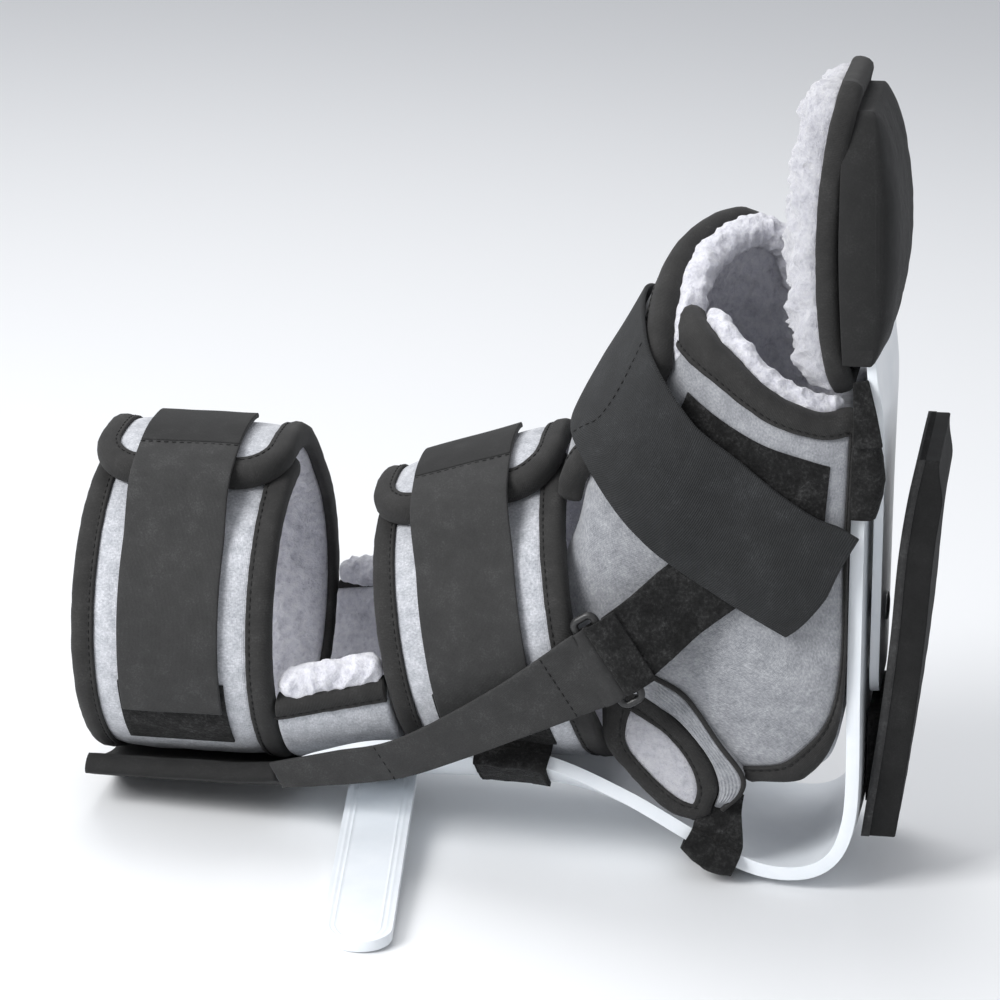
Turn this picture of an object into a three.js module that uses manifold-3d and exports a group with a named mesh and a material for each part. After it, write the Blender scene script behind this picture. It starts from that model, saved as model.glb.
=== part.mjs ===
// A contracture boot: a rigid L-shaped plastic splint under the calf and along the sole, a padded
// fleece-lined liner with two leg cuffs and a foot wrap, hook-and-loop straps, a toe extension with
// a padded toe board, a foam walking sole and an anti-rotation bar that swivels under the calf.
// Millimetres. While it is modelled, X runs along the shin towards the sole, Z towards the shin's
// front and Y across the leg, with the near (outer) side at negative Y. The whole boot is then
// tipped a little so that the heel and the calf end lie on the floor at Z = 0.
import * as THREE from "three";
import Module from "manifold-3d";

const wasm = await Module();
wasm.setup();

// Clearances
const GAP = 0.35; // between two pieces that touch
const SEAM = 0.35; // between a wall and the binding on its edge
const FULL_TURN = 360;

// Padded liner
const WALL = 7.5;
const BINDING = 9.5; // width of the folded tape on an edge
const BINDING_PROUD = 0.7; // tape's extra thickness on each face

// Hook-and-loop straps
const STRAP = 1.8;
const STRAP_WIDTH = 39;
const FOOT_STRAP_WIDTH = 46;
const LOOP_PILE = 1.2;

// Plastic splint and what is fixed to it
const PLASTIC = 5;
const CORNER = 12;
const TOE_PLASTIC = 3.5;
const POCKET_CLOTH = 1.6;
const BAR = { width: 26, thickness: 4 };
const PIN = { radius: 3, hole: 3.4, head: 6, headHeight: 1.2 };
const DRILL = 15; // how far a hole is cut past a pin's ends

const rad = THREE.MathUtils.degToRad;
const lerp = THREE.MathUtils.lerp;
const clamp = THREE.MathUtils.clamp;
const smoothstep = THREE.MathUtils.smoothstep;

const finish = (color, roughness) =>
  new THREE.MeshStandardMaterial({ color, roughness, metalness: 0 });
const MATERIALS = {
  plastic: finish(0xe9ebee, 0.35),
  jersey: finish(0xa9acb2, 0.95),
  binding: finish(0x2b2a29, 0.8),
  strap: finish(0x262627, 0.85),
  pile: finish(0x1b1b1c, 1),
  fleece: finish(0xe8e7ea, 1),
  foam: finish(0x232325, 0.9),
  ring: finish(0x18191a, 0.4),
  steel: finish(0x9a9da1, 0.4),
};

const boot = new THREE.Group();

function place(name, geometry, material) {
  const mesh = new THREE.Mesh(geometry, MATERIALS[material].clone());
  mesh.name = name;
  boot.add(mesh);
}

// Reads a table along a smooth curve through its rows. The first column is the place and the
// others are the values there.
function along(table, at) {
  const last = table.length - 1;
  const x = clamp(at, table[0][0], table[last][0]);
  let i = 0;
  while (i < last - 1 && x > table[i + 1][0]) i += 1;
  const [a, b] = [table[i], table[i + 1]];
  const before = table[Math.max(i - 1, 0)];
  const after = table[Math.min(i + 2, last)];
  const step = b[0] - a[0];
  const t = (x - a[0]) / step;
  const [t2, t3] = [t * t, t * t * t];
  return a.slice(1).map((value, c) => {
    const next = b[c + 1];
    const startSlope = (next - before[c + 1]) / (b[0] - before[0]);
    const endSlope = (after[c + 1] - value) / (after[0] - a[0]);
    return (
      (2 * t3 - 3 * t2 + 1) * value +
      (t3 - 2 * t2 + t) * step * startSlope +
      (3 * t2 - 2 * t3) * next +
      (t3 - t2) * step * endSlope
    );
  });
}

// Smooth curve through evenly read points, from 0 to 1.
function curve(points) {
  const table = points.map((point, i) => [i / (points.length - 1), ...point]);
  return (t) => new THREE.Vector3(...along(table, t));
}

// Closed body between two grids of points with the same rows and columns. A looped body joins its
// last row to its first.
function bodyBetween(front, back, loop = false) {
  const rows = front.length;
  const columns = front[0].length;
  const positions = [...front.flat(), ...back.flat()].flatMap((p) => [p.x, p.y, p.z]);
  const at = (i, j, side) => (i % rows) * columns + j + side * rows * columns;
  const index = [];
  const quad = (a, b, c, d) => index.push(a, b, c, a, c, d);
  const bands = loop ? rows : rows - 1;
  const end = columns - 1;
  for (let i = 0; i < bands; i += 1) {
    for (let j = 0; j < end; j += 1) {
      quad(at(i, j, 0), at(i, j + 1, 0), at(i + 1, j + 1, 0), at(i + 1, j, 0));
      quad(at(i, j, 1), at(i + 1, j, 1), at(i + 1, j + 1, 1), at(i, j + 1, 1));
    }
    quad(at(i, 0, 0), at(i + 1, 0, 0), at(i + 1, 0, 1), at(i, 0, 1));
    quad(at(i, end, 0), at(i, end, 1), at(i + 1, end, 1), at(i + 1, end, 0));
  }
  for (let j = 0; j < end && !loop; j += 1) {
    quad(at(0, j, 0), at(0, j, 1), at(0, j + 1, 1), at(0, j + 1, 0));
    quad(at(bands, j, 0), at(bands, j + 1, 0), at(bands, j + 1, 1), at(bands, j, 1));
  }
  return shell(positions, index);
}

// Triangles as a closed body, turned right side out.
function shell(positions, index) {
  const corner = (i) => new THREE.Vector3().fromArray(positions, index[i] * 3);
  let volume = 0;
  for (let i = 0; i < index.length; i += 3)
    volume += corner(i).dot(corner(i + 1).cross(corner(i + 2)));
  if (volume < 0)
    for (let i = 0; i < index.length; i += 3)
      [index[i + 1], index[i + 2]] = [index[i + 2], index[i + 1]];
  const geometry = new THREE.BufferGeometry();
  geometry.setAttribute("position", new THREE.Float32BufferAttribute(positions, 3));
  geometry.setIndex(index);
  return geometry;
}

// Surface with a thickness. point(u, v, offset) gives a place on it, for u and v from 0 to 1.
function sheet(rows, columns, point, inner, outer) {
  const grid = (offset) =>
    Array.from({ length: rows + 1 }, (_, i) =>
      Array.from({ length: columns + 1 }, (__, j) => point(i / rows, j / columns, offset)),
    );
  return bodyBetween(grid(outer), grid(inner));
}

// Adds an offset square to a surface that has none. Outward is the side that faces away from a
// point inside the boot's leg or foot.
function thickened(surface, inside) {
  const STEP = 1e-3;
  const square = (u, v) => {
    const [u0, v0] = [clamp(u, STEP, 1 - STEP), clamp(v, STEP, 1 - STEP)];
    const du = surface(u0 + STEP, v0).sub(surface(u0 - STEP, v0));
    const dv = surface(u0, v0 + STEP).sub(surface(u0, v0 - STEP));
    return du.cross(dv).normalize();
  };
  const sign = Math.sign(square(0.5, 0.5).dot(surface(0.5, 0.5).sub(inside)));
  return (u, v, offset) => surface(u, v).addScaledVector(square(u, v), sign * offset);
}

// Length in millimetres of a line on a surface between two of its places.
function measure(surface, from, to) {
  const STEPS = 12;
  let length = 0;
  let before = surface(...from, 0);
  for (let i = 1; i <= STEPS; i += 1) {
    const [u, v] = from.map((value, c) => lerp(value, to[c], i / STEPS));
    const next = surface(u, v, 0);
    length += next.distanceTo(before);
    before = next;
  }
  return length;
}

// Padded panel with tape folded over some of its edges. Each tape is listed with the edges that it
// follows, in their order round the panel, starting with v = 0: bottom, right, top, left. A tape on
// all four of them makes a closed loop.
function boundPanel(name, material, surface, grid, tapes, tape = BINDING, thickness = WALL) {
  const [rows, columns] = grid;
  const edges = Object.values(tapes).flat();
  const inset = (edge, at, width) => {
    if (!edges.includes(edge)) return 0;
    const upright = edge === "bottom" || edge === "top";
    const length = upright
      ? measure(surface, [at, 0], [at, 1])
      : measure(surface, [0, at], [1, at]);
    return width / length;
  };
  const inner = (u, v, width) => [
    lerp(inset("left", v, width), 1 - inset("right", v, width), u),
    lerp(inset("bottom", u, width), 1 - inset("top", u, width), v),
  ];
  place(
    name,
    sheet(rows, columns, (u, v, o) => surface(...inner(u, v, tape + SEAM), o), -thickness, 0),
    material,
  );
  const walk = {
    bottom: (s) => [s, 0],
    right: (s) => [1, s],
    top: (s) => [1 - s, 1],
    left: (s) => [0, 1 - s],
  };
  for (const [tapeName, followed] of Object.entries(tapes)) {
    const rim = [];
    for (const edge of followed) {
      const steps = edge === "bottom" || edge === "top" ? rows : columns;
      for (let i = rim.length ? 1 : 0; i <= steps; i += 1) rim.push(walk[edge](i / steps));
    }
    const loop = followed.length === 4;
    if (loop) rim.pop();
    const strip = (offset) =>
      rim.map(([u, v]) => [surface(u, v, offset), surface(...inner(u, v, tape), offset)]);
    place(
      `${name}_${tapeName}`,
      bodyBetween(strip(BINDING_PROUD), strip(-thickness - BINDING_PROUD), loop),
      "binding",
    );
  }
}

// Joining and cutting of closed bodies
function toManifold(geometry) {
  return new wasm.Manifold(
    new wasm.Mesh({
      numProp: 3,
      vertProperties: new Float32Array(geometry.getAttribute("position").array),
      triVerts: new Uint32Array(geometry.index.array),
    }),
  );
}

function fromManifold(solid) {
  const mesh = solid.getMesh();
  return shell([...mesh.vertProperties], [...mesh.triVerts]);
}

const cut = (body, ...cutters) =>
  fromManifold(
    cutters.reduce((solid, cutter) => solid.subtract(toManifold(cutter)), toManifold(body)),
  );
const join = (...bodies) =>
  fromManifold(bodies.map(toManifold).reduce((solid, body) => solid.add(body)));

// Closed round rod between two points
function rod(from, to, radius, sides = 20) {
  const axis = new THREE.Vector3().subVectors(to, from).normalize();
  const turn = new THREE.Quaternion().setFromUnitVectors(new THREE.Vector3(0, 0, 1), axis);
  const positions = [from.toArray(), to.toArray()];
  const index = [];
  for (const end of [from, to])
    for (let i = 0; i < sides; i += 1) {
      const angle = (i / sides) * 2 * Math.PI;
      const spoke = new THREE.Vector3(radius * Math.cos(angle), radius * Math.sin(angle), 0);
      positions.push(spoke.applyQuaternion(turn).add(end).toArray());
    }
  for (let i = 0; i < sides; i += 1) {
    const j = (i + 1) % sides;
    const [a, b, c, d] = [2 + i, 2 + j, 2 + sides + j, 2 + sides + i];
    index.push(0, b, a, 1, d, c, a, b, c, a, c, d);
  }
  return shell(positions.flat(), index);
}

// Leg: the hollow round the calf and ankle, as circles square to the shin.
// columns: place (0 to 1 upper cuff, 1 to 2 bridge, 2 to 3 ankle cuff), x, z, radius, tilt
const ANKLE_TILT = rad(10.8);
const LEG = [
  [0, -155, -47.5, 55.5, 0],
  [1, -77, -47.5, 55.5, 0],
  [2, -36, -53.5, 45.5, ANKLE_TILT],
  [3, 40, -39, 56, ANKLE_TILT],
];

const CALF_FLATNESS = 0.92; // height of the back half of each circle as a share of its radius

// Point on the leg. Angle 0 is the calf's back, 90 the near side, 180 the shin's front.
function legPoint(where, angle, offset) {
  const i = clamp(Math.floor(where), 0, LEG.length - 2);
  const [x, z, radius, tilt] = LEG[i].slice(1).map((a, c) => lerp(a, LEG[i + 1][c + 1], where - i));
  const r = radius + offset;
  const round = -r * Math.cos(rad(angle));
  const forward = round < 0 ? round * CALF_FLATNESS : round;
  return new THREE.Vector3(
    x - forward * Math.sin(tilt),
    -r * Math.sin(rad(angle)),
    z + forward * Math.cos(tilt),
  );
}

// Cuff: one padded band from its near end, under the calf, up the far side and over the front to a
// flap with round corners that lies over the near end. Turns run from the near end in degrees,
// starting below zero; the calf's back is at 0.
const CUFF_CORNER = 20;
const LIFT_START = 138; // turn at which the flap starts to rise over the near end
const LIFT_END = 178;
const FLAP_LIFT = WALL + 2 * BINDING_PROUD + GAP;
const flapLift = (turn) => FLAP_LIFT * smoothstep(turn, LIFT_START, LIFT_END);

function cuff(prefix, { first, length, radius, nearEnd, flapEnd }) {
  const half = length / 2;
  const perDegree = (2 * Math.PI * radius) / FULL_TURN;
  const [start, end] = [-nearEnd, FULL_TURN - flapEnd];
  const point = (across, turn, offset) =>
    legPoint(first + 0.5 + across / length, -turn, offset + flapLift(turn));
  // half width of the band at a turn, inside an edge strip of the given width
  const reach = (turn, strip) => {
    const corner = CUFF_CORNER - strip;
    const left = clamp(((end - turn) * perDegree - strip) / corner, 0, 1);
    return half - strip - corner * (1 - Math.sqrt(1 - (1 - left) ** 2));
  };
  const wallInset = BINDING + SEAM;
  const turnAt = (s) => {
    const cornerTurn = CUFF_CORNER / perDegree;
    const [from, to] = [start + wallInset / perDegree, end - wallInset / perDegree];
    return s < 0.85
      ? lerp(from, end - cornerTurn, s / 0.85)
      : lerp(end - cornerTurn, to, Math.sin((s - 0.85) / 0.15 * (Math.PI / 2)));
  };
  const ROWS = 34;
  place(
    `${prefix}_cuff`,
    sheet(
      ROWS,
      2,
      (s, t, o) => point((2 * t - 1) * Math.max(reach(turnAt(s), wallInset), 2), turnAt(s), o),
      0,
      WALL,
    ),
    "jersey",
  );
  const SIDE_STEPS = 30;
  const CORNER_STEPS = 4;
  const tape = [];
  for (let i = 0; i <= SIDE_STEPS; i += 1) {
    const turn = lerp(start, end - CUFF_CORNER / perDegree, i / SIDE_STEPS);
    tape.push([half, turn, half - BINDING, Math.max(turn, start + BINDING / perDegree)]);
  }
  for (let i = 1; i <= CORNER_STEPS; i += 1) {
    const angle = (i / CORNER_STEPS) * (Math.PI / 2);
    const [across, turn] = [half - CUFF_CORNER, end - CUFF_CORNER / perDegree];
    const step = (r) => [across + r * Math.cos(angle), turn + (r * Math.sin(angle)) / perDegree];
    tape.push([...step(CUFF_CORNER), ...step(CUFF_CORNER - BINDING)]);
  }
  const rim = [...tape, ...tape.map(([a, b, c, d]) => [-a, b, -c, d]).reverse()];
  const strip = (o) => rim.map(([a, b, c, d]) => [point(a, b, o), point(c, d, o)]);
  place(
    `${prefix}_cuff_binding`,
    bodyBetween(strip(WALL + BINDING_PROUD), strip(-BINDING_PROUD), true),
    "binding",
  );

  // Strap sewn on the flap, and the loop pile that its end fastens to
  const over = WALL + GAP;
  const pileTurns = [-STRAP_END.pile, -STRAP_END.pileTop];
  const strapTurns = [-STRAP_END.strap, -STRAP_END.top];
  const band = (name, [from, to], width, offset, thickness, material) =>
    place(
      name,
      sheet(
        16,
        2,
        (s, t, o) => {
          const angle = -lerp(from, to, s);
          const rise = smoothstep(angle, flapEnd - STRAP_RAMP, flapEnd);
          const lifted = offset === 0 ? 0 : flapLift(FULL_TURN - angle) * rise;
          return legPoint(
            first + 0.5 + ((2 * t - 1) * width) / 2 / length, angle, over + offset + lifted + o
          );
        },
        0,
        thickness,
      ),
      material,
    );
  band(`${prefix}_cuff_loop_patch`, pileTurns, STRAP_WIDTH, 0, LOOP_PILE, "pile");
  band(`${prefix}_cuff_strap`, strapTurns, STRAP_WIDTH, LOOP_PILE + GAP, STRAP, "strap");
}
const STRAP_RAMP = 24;
const STRAP_END = { pile: 51, pileTop: 108, strap: 66, top: 186 };

const UPPER_CUFF = { first: 0, length: 78, radius: 64, nearEnd: 174, flapEnd: 150 };
const ANKLE_CUFF = { first: 2, length: 77.4, radius: 58, nearEnd: 174, flapEnd: 148 };
cuff("upper", UPPER_CUFF);
cuff("ankle", ANKLE_CUFF);

// Padded bridge under the calf between the two cuffs
const BRIDGE_FAR = [-82, -96]; // angle of its far edge at the calf and at the ankle
const BRIDGE_NEAR = [71, 85];
const BRIDGE_GAP = 0.02; // as a share of the bridge
boundPanel(
  "calf_bridge",
  "jersey",
  (u, v, offset) =>
    legPoint(
      1 + lerp(BRIDGE_GAP, 1 - BRIDGE_GAP, u),
      lerp(lerp(...BRIDGE_FAR, u), lerp(...BRIDGE_NEAR, u), v),
      WALL + offset,
    ),
  [4, 24],
  { near_binding: ["top"], far_binding: ["bottom"] },
);

// Foot wrap's base surface: outside of its inner layer, as half rings from the sole's edge to the
// middle of the instep. columns: share of the foot from heel to toes, then x, z and half width at
// six even places.
const FOOT = [
  [0, 102, -93, 44, 72, -71, 46, 40, -54, 46, 29, -22, 43, 36.5, 6, 32, 38, 24, 0],
  [0.15, 121, -90, 44, 95, -62, 48, 62, -38, 49, 45, -6, 49, 41, 24, 36, 43, 38, 0],
  [0.4, 134, -64, 45, 115, -42, 50, 90, -16, 51, 68, 10, 50, 55, 36, 38, 50, 52, 0],
  [0.7, 135, 0, 46, 121, 14, 50, 103, 28, 51, 85, 46, 48, 69, 62, 36, 63, 74, 0],
  [1, 136, 50, 46, 127, 62, 50, 114, 84, 51, 101, 102, 47, 88, 112, 31, 82, 113, 0],
];
const FOOT_INSIDE = new THREE.Vector3(90, 0, 0);
const FOOT_PLACES = 6;

// Surface of the foot: turn 0 is the far edge of the sole, 1 the instep, 2 the near edge.
function footBase(share, turn) {
  const row = along(FOOT, share);
  const ring = Array.from({ length: FOOT_PLACES }, (_, i) => row.slice(3 * i, 3 * i + 3));
  const mirrored = ring.slice(0, -1).reverse();
  const points = [
    ...ring.map(([x, z, y]) => [x, y, z]),
    ...mirrored.map(([x, z, y]) => [x, -y, z]),
  ];
  return curve(points)(turn / 2);
}
const footSurface = thickened((u, v) => footBase(u, 2 * v), FOOT_INSIDE);
const footPoint = (share, turn, offset) => footSurface(share, turn / 2, offset);

// Near panel of the foot wrap, up to its curved toe rim and in under the flap
// columns: turn from the near edge of the sole, share of the foot at the rim
const NEAR_RIM = [[0, 1], [0.2, 0.93], [0.4, 0.875], [0.6, 0.85], [0.8, 0.845], [1, 0.83]];
const NEAR_TURN = 0.93;
boundPanel(
  "foot_wrap_near",
  "jersey",
  (u, v, offset) => footPoint(u * along(NEAR_RIM, v * NEAR_TURN)[0], 2 - v * NEAR_TURN, offset),
  [12, 10],
  { binding: ["bottom", "right"] },
);

// Far panel and the flap that crosses the instep on top of the near panel
// columns: turn from the far edge of the sole, share of the foot at the rim
const FAR_RIM = [[0, 0.99], [0.4, 0.99], [0.8, 1], [1, 0.9], [1.22, 0.74]];
const FAR_TURN = 1.22;
boundPanel(
  "foot_wrap_flap",
  "jersey",
  (u, v, offset) => {
    const turn = v * FAR_TURN;
    const lift = FLAP_LIFT * smoothstep(turn, 0.7, 0.98);
    return footPoint(lerp(0.06, along(FAR_RIM, turn)[0], u), turn, offset + lift);
  },
  [12, 16],
  { binding: ["right", "top"] },
);

// Padded foot bed along the sole and round behind the heel
const FOOT_BED = { halfWidth: 35.6, thickness: 6.5, x: 137.2, top: 50 };
const bedLine = curve([
  [FOOT_BED.x, 0, FOOT_BED.top],
  [FOOT_BED.x, 0, 0],
  [FOOT_BED.x, 0, -FOOT_BED.top],
  [135.3, 0, -75],
  [127, 0, -87.5],
  [104, 0, -92],
]);
place(
  "foot_bed",
  sheet(
    20,
    2,
    thickened((u, v) => bedLine(u).setY(lerp(-1, 1, v) * FOOT_BED.halfWidth), FOOT_INSIDE),
    -FOOT_BED.thickness,
    0,
  ),
  "fleece",
);

// Splint: a trough under the calf, a bend standing clear of the heel, and a plate up the sole
// columns: place, x and z of the inner face's middle, how far its edges stand up, half width
const SPLINT = [
  [0, -152, -109.4, 12, 48],
  [0.08, -115, -109.4, 12, 48],
  [0.16, -80, -109.2, 13, 48],
  [0.22, -60, -107.6, 18.5, 48],
  [0.28, -36, -105.6, 22.5, 48],
  [0.36, 0, -103.4, 20.2, 48],
  [0.43, 27, -104, 18, 47],
  [0.49, 54, -108, 10.5, 46],
  [0.55, 81, -118.5, 6, 45],
  [0.6, 100, -126.5, 4, 44],
  [0.64, 114, -128.8, 3, 44],
  [0.68, 127, -126.8, 2.5, 44],
  [0.72, 135.5, -119.5, 2, 44],
  [0.76, 139.3, -107, 1.4, 43],
  [0.8, 139.8, -90, 0.8, 43],
  [0.87, 139, -55, 0.5, 43],
  [0.94, 138.6, 0, 0.4, 43],
  [1, 138.6, 50, 0.4, 43],
];
const SPLINT_INSIDE = new THREE.Vector3(0, 0, 0);
const splintWidth = (u) => along(SPLINT, u)[3];
function splintBase(u, side) {
  const [x, z, rise, half] = along(SPLINT, u);
  const [x1, z1] = along(SPLINT, Math.min(u + 1e-3, 1));
  const [x0, z0] = along(SPLINT, Math.max(u - 1e-3, 0));
  const inward = new THREE.Vector3(z0 - z1, 0, x1 - x0).normalize();
  const trough = (half * half + rise * rise) / (2 * rise);
  const y = side * half;
  return new THREE.Vector3(x, y, z).addScaledVector(
    inward,
    trough - Math.sqrt(trough * trough - y * y),
  );
}
const splintSurface = thickened((u, v) => splintBase(u, 2 * v - 1), SPLINT_INSIDE);
const splintPoint = (u, side, outward) => splintSurface(u, (side + 1) / 2, outward);

// Share of the half width left by a rounded corner at some distance from an end
const rounded = (distance, half, corner) =>
  1 - (corner * (1 - Math.sqrt(1 - (1 - clamp(distance / corner, 0, 1)) ** 2))) / half;

const SPLINT_LENGTH = 470;
const SPLINT_ROWS = 32;
const splintPlace = (s) => {
  const edge = CORNER / SPLINT_LENGTH;
  if (s < 0.12) return edge * (1 - Math.cos((s / 0.12) * (Math.PI / 2)));
  if (s > 0.88) return 1 - edge * (1 - Math.cos(((1 - s) / 0.12) * (Math.PI / 2)));
  return lerp(edge, 1 - edge, (s - 0.12) / 0.76);
};
const splintBody = sheet(
  SPLINT_ROWS,
  10,
  (s, t, o) => {
    const u = splintPlace(s);
    const distance = Math.min(u, 1 - u) * SPLINT_LENGTH;
    return splintPoint(u, (2 * t - 1) * rounded(distance, splintWidth(u), CORNER), o);
  },
  0,
  PLASTIC,
);

// Black sleeve that holds the calf end of the splint
const SLEEVE_END = 0.165; // along the splint
const SLEEVE_GAP = 0.7;
const sleeve = (end, grow) =>
  sheet(
    4,
    10,
    (s, t, o) => {
      const half = splintWidth(s * end);
      const point = splintPoint(s * end, ((2 * t - 1) * (half + grow)) / half, o);
      return s === 0 ? point.setX(point.x - grow) : point;
    },
    -grow,
    PLASTIC + grow,
  );
place(
  "splint_sleeve",
  cut(sleeve(SLEEVE_END, SLEEVE_GAP + POCKET_CLOTH), sleeve(SLEEVE_END + 0.01, SLEEVE_GAP)),
  "strap",
);

// Anti-rotation bar: flat against the splint at its rivet, then down to the floor at its tip
const BAR_PIVOT = new THREE.Vector3(-46, 0, 0);
const BAR_SPAN = { tip: -151, end: 13 };
// columns: y, z of the upper face
const BAR_LINE = [[-151, -120.7], [-90, -117.2], [-40, -113.9], [-24, -112.9], [0, -112.9], [13, -112.9]];
const BAR_SKEW = rad(-7.5); // the way it was left turned on its rivet
const BAR_CORNER = BAR.width / 2;
const barBody = sheet(
  22,
  2,
  (s, t, o) => {
    const share = 0.5 - 0.5 * Math.cos(s * Math.PI);
    const y = lerp(BAR_SPAN.tip, BAR_SPAN.end, share);
    const near = clamp(Math.min(y - BAR_SPAN.tip, BAR_SPAN.end - y) / BAR_CORNER, 0, 1);
    const half = Math.max(BAR_CORNER * Math.sqrt(1 - (1 - near) ** 2), 1);
    const across = Math.tan(BAR_SKEW) * y + (2 * t - 1) * half;
    const [z] = along(BAR_LINE, y);
    return new THREE.Vector3(BAR_PIVOT.x + across, y, z + o);
  },
  -BAR.thickness,
  0,
);
const up = (z) => BAR_PIVOT.clone().setZ(z);
const RIVET = { bottom: -117.2, top: -105.3, play: 0.2 };
const rivetHole = rod(up(RIVET.bottom - DRILL), up(RIVET.top + DRILL), PIN.hole);
place("anti_rotation_bar", cut(barBody, rivetHole), "plastic");
place(
  "bar_rivet",
  join(
    rod(up(RIVET.bottom - RIVET.play), up(RIVET.top + RIVET.play), PIN.radius),
    rod(up(RIVET.bottom - RIVET.play - PIN.headHeight), up(RIVET.bottom - RIVET.play), PIN.head),
    rod(up(RIVET.top), up(RIVET.top + PIN.headHeight), PIN.head),
  ),
  "steel",
);

// Toe plate: a tongue screwed to the sole side of the splint, widening into the toe board
// columns: place, x and z of the face towards the foot, half width
const TOE_PLATE_X = 145.6; // where it lies flat behind the splint
const TOE_PLATE = [
  [0, TOE_PLATE_X, -63, 26],
  [0.15, TOE_PLATE_X, -28, 27],
  [0.32, TOE_PLATE_X, 10, 29],
  [0.42, TOE_PLATE_X, 34, 34],
  [0.5, 145.2, 52, 41],
  [0.57, 143.2, 66, 47],
  [0.65, 141.6, 84, 49],
  [0.8, 139.8, 113, 47],
  [0.92, 139.3, 139, 43],
  [1, 139, 157, 40],
];
const TOE_LENGTH = 220;
const toePoint = (u, side, offset, grow = 0) => {
  const [x, z, half] = along(TOE_PLATE, u);
  return new THREE.Vector3(x + offset, side * (half + grow), z);
};
const TOE_CORNER = 24;
const toePlace = (s) => {
  const [low, high] = [CORNER / TOE_LENGTH, TOE_CORNER / TOE_LENGTH];
  if (s < 0.12) return low * (1 - Math.cos((s / 0.12) * (Math.PI / 2)));
  if (s > 0.82) return 1 - high * (1 - Math.cos(((1 - s) / 0.18) * (Math.PI / 2)));
  return lerp(low, 1 - high, (s - 0.12) / 0.7);
};
const toeReach = (u) => {
  const half = along(TOE_PLATE, u)[2];
  return u < 0.5
    ? rounded(u * TOE_LENGTH, half, CORNER)
    : rounded((1 - u) * TOE_LENGTH, half, TOE_CORNER);
};
const toeBody = sheet(
  26,
  2,
  (s, t, o) => toePoint(toePlace(s), (2 * t - 1) * toeReach(toePlace(s)), o),
  0,
  TOE_PLASTIC,
);
const SCREW = { z: -34, end: 139.6, flange: 144.1, play: 0.3, headHeight: 1.4 };
const screwAt = (x) => new THREE.Vector3(x, 0, SCREW.z);
const TOE_OUTSIDE = TOE_PLATE_X + TOE_PLASTIC;
const screwHole = rod(screwAt(SCREW.end - DRILL), screwAt(TOE_OUTSIDE + DRILL), PIN.hole);
const headStart = TOE_OUTSIDE + SCREW.play;
place("splint", cut(splintBody, rivetHole, screwHole), "plastic");
place("toe_plate", cut(toeBody, screwHole), "plastic");
place(
  "toe_plate_screw",
  join(
    rod(screwAt(SCREW.end), screwAt(headStart), PIN.radius),
    rod(screwAt(headStart), screwAt(headStart + SCREW.headHeight), PIN.head),
    rod(screwAt(SCREW.flange), screwAt(SCREW.flange + PIN.headHeight), PIN.head),
  ),
  "steel",
);

// Foam walking sole on a wedge of hook pile
const FOAM = {
  thickness: 12.7,
  halfWidth: 34,
  bottom: -115,
  top: 34,
  bevel: 0.35, // share of its thickness
  bevelStart: 0.88, // share of its length
};
// columns: z, x of the face towards the splint
const FOAM_FACE = [[-115, 145], [-70, 150.4], [-36, 153.6], [-4, 155.6], [19, 158.4], [38, 162]];
place(
  "foam_sole",
  sheet(
    12,
    2,
    (s, t, o) => {
      const z = lerp(FOAM.bottom, FOAM.top, s);
      const bevel = o * FOAM.bevel * smoothstep(s, FOAM.bevelStart, 1);
      return new THREE.Vector3(along(FOAM_FACE, z)[0] + o - bevel, (2 * t - 1) * FOAM.halfWidth, z);
    },
    0,
    FOAM.thickness,
  ),
  "foam",
);
const WEDGE = { halfWidth: 25, top: -69, bottom: -104, face: 145.4, gap: 0.6, thinnest: 0.6 };
place(
  "foam_hook_patch",
  sheet(
    4,
    2,
    (s, t, isOuter) => {
      const z = lerp(WEDGE.top, WEDGE.bottom, s);
      const outer = Math.max(along(FOAM_FACE, z)[0] - WEDGE.gap, WEDGE.face + WEDGE.thinnest);
      return new THREE.Vector3(isOuter ? outer : WEDGE.face, (2 * t - 1) * WEDGE.halfWidth, z);
    },
    0,
    1,
  ),
  "pile",
);

// Toe pad: thick fleece on the foot's side, with tape round it
const PAD_FLEECE = { depth: 17, back: 4.3, inset: 0.04, edgeShare: 0.35 };
// columns: place, x and z of its back, half width
const TOE_PAD = [
  [0, 137.5, 60, 36],
  [0.12, 134.5, 70, 45],
  [0.3, 131.8, 88, 48],
  [0.5, 130.4, 112, 48],
  [0.7, 131, 136, 46],
  [0.88, 133.5, 157, 40],
  [1, 136.5, 171, 26],
];
const padBack = thickened((u, v) => {
  const [x, z, half] = along(TOE_PAD, u);
  return new THREE.Vector3(x, lerp(-1, 1, v) * half, z);
}, FOOT_INSIDE);
const ALL_ROUND = { binding: ["bottom", "right", "top", "left"] };
boundPanel("toe_pad_back", "jersey", padBack, [14, 6], ALL_ROUND, 7, 3);
place(
  "toe_pad_fleece",
  sheet(
    14,
    8,
    (s, t, o) => {
      const { depth, back, inset, edgeShare } = PAD_FLEECE;
      const [u, v] = [lerp(inset, 1 - inset, s), lerp(inset, 1 - inset, t)];
      const plump = Math.sqrt(Math.max((1 - (2 * s - 1) ** 6) * (1 - (2 * t - 1) ** 6), 0));
      return padBack(u, v, o === 0 ? -back : -back - depth * lerp(edgeShare, 1, plump));
    },
    0,
    1,
  ),
  "fleece",
);

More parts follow.
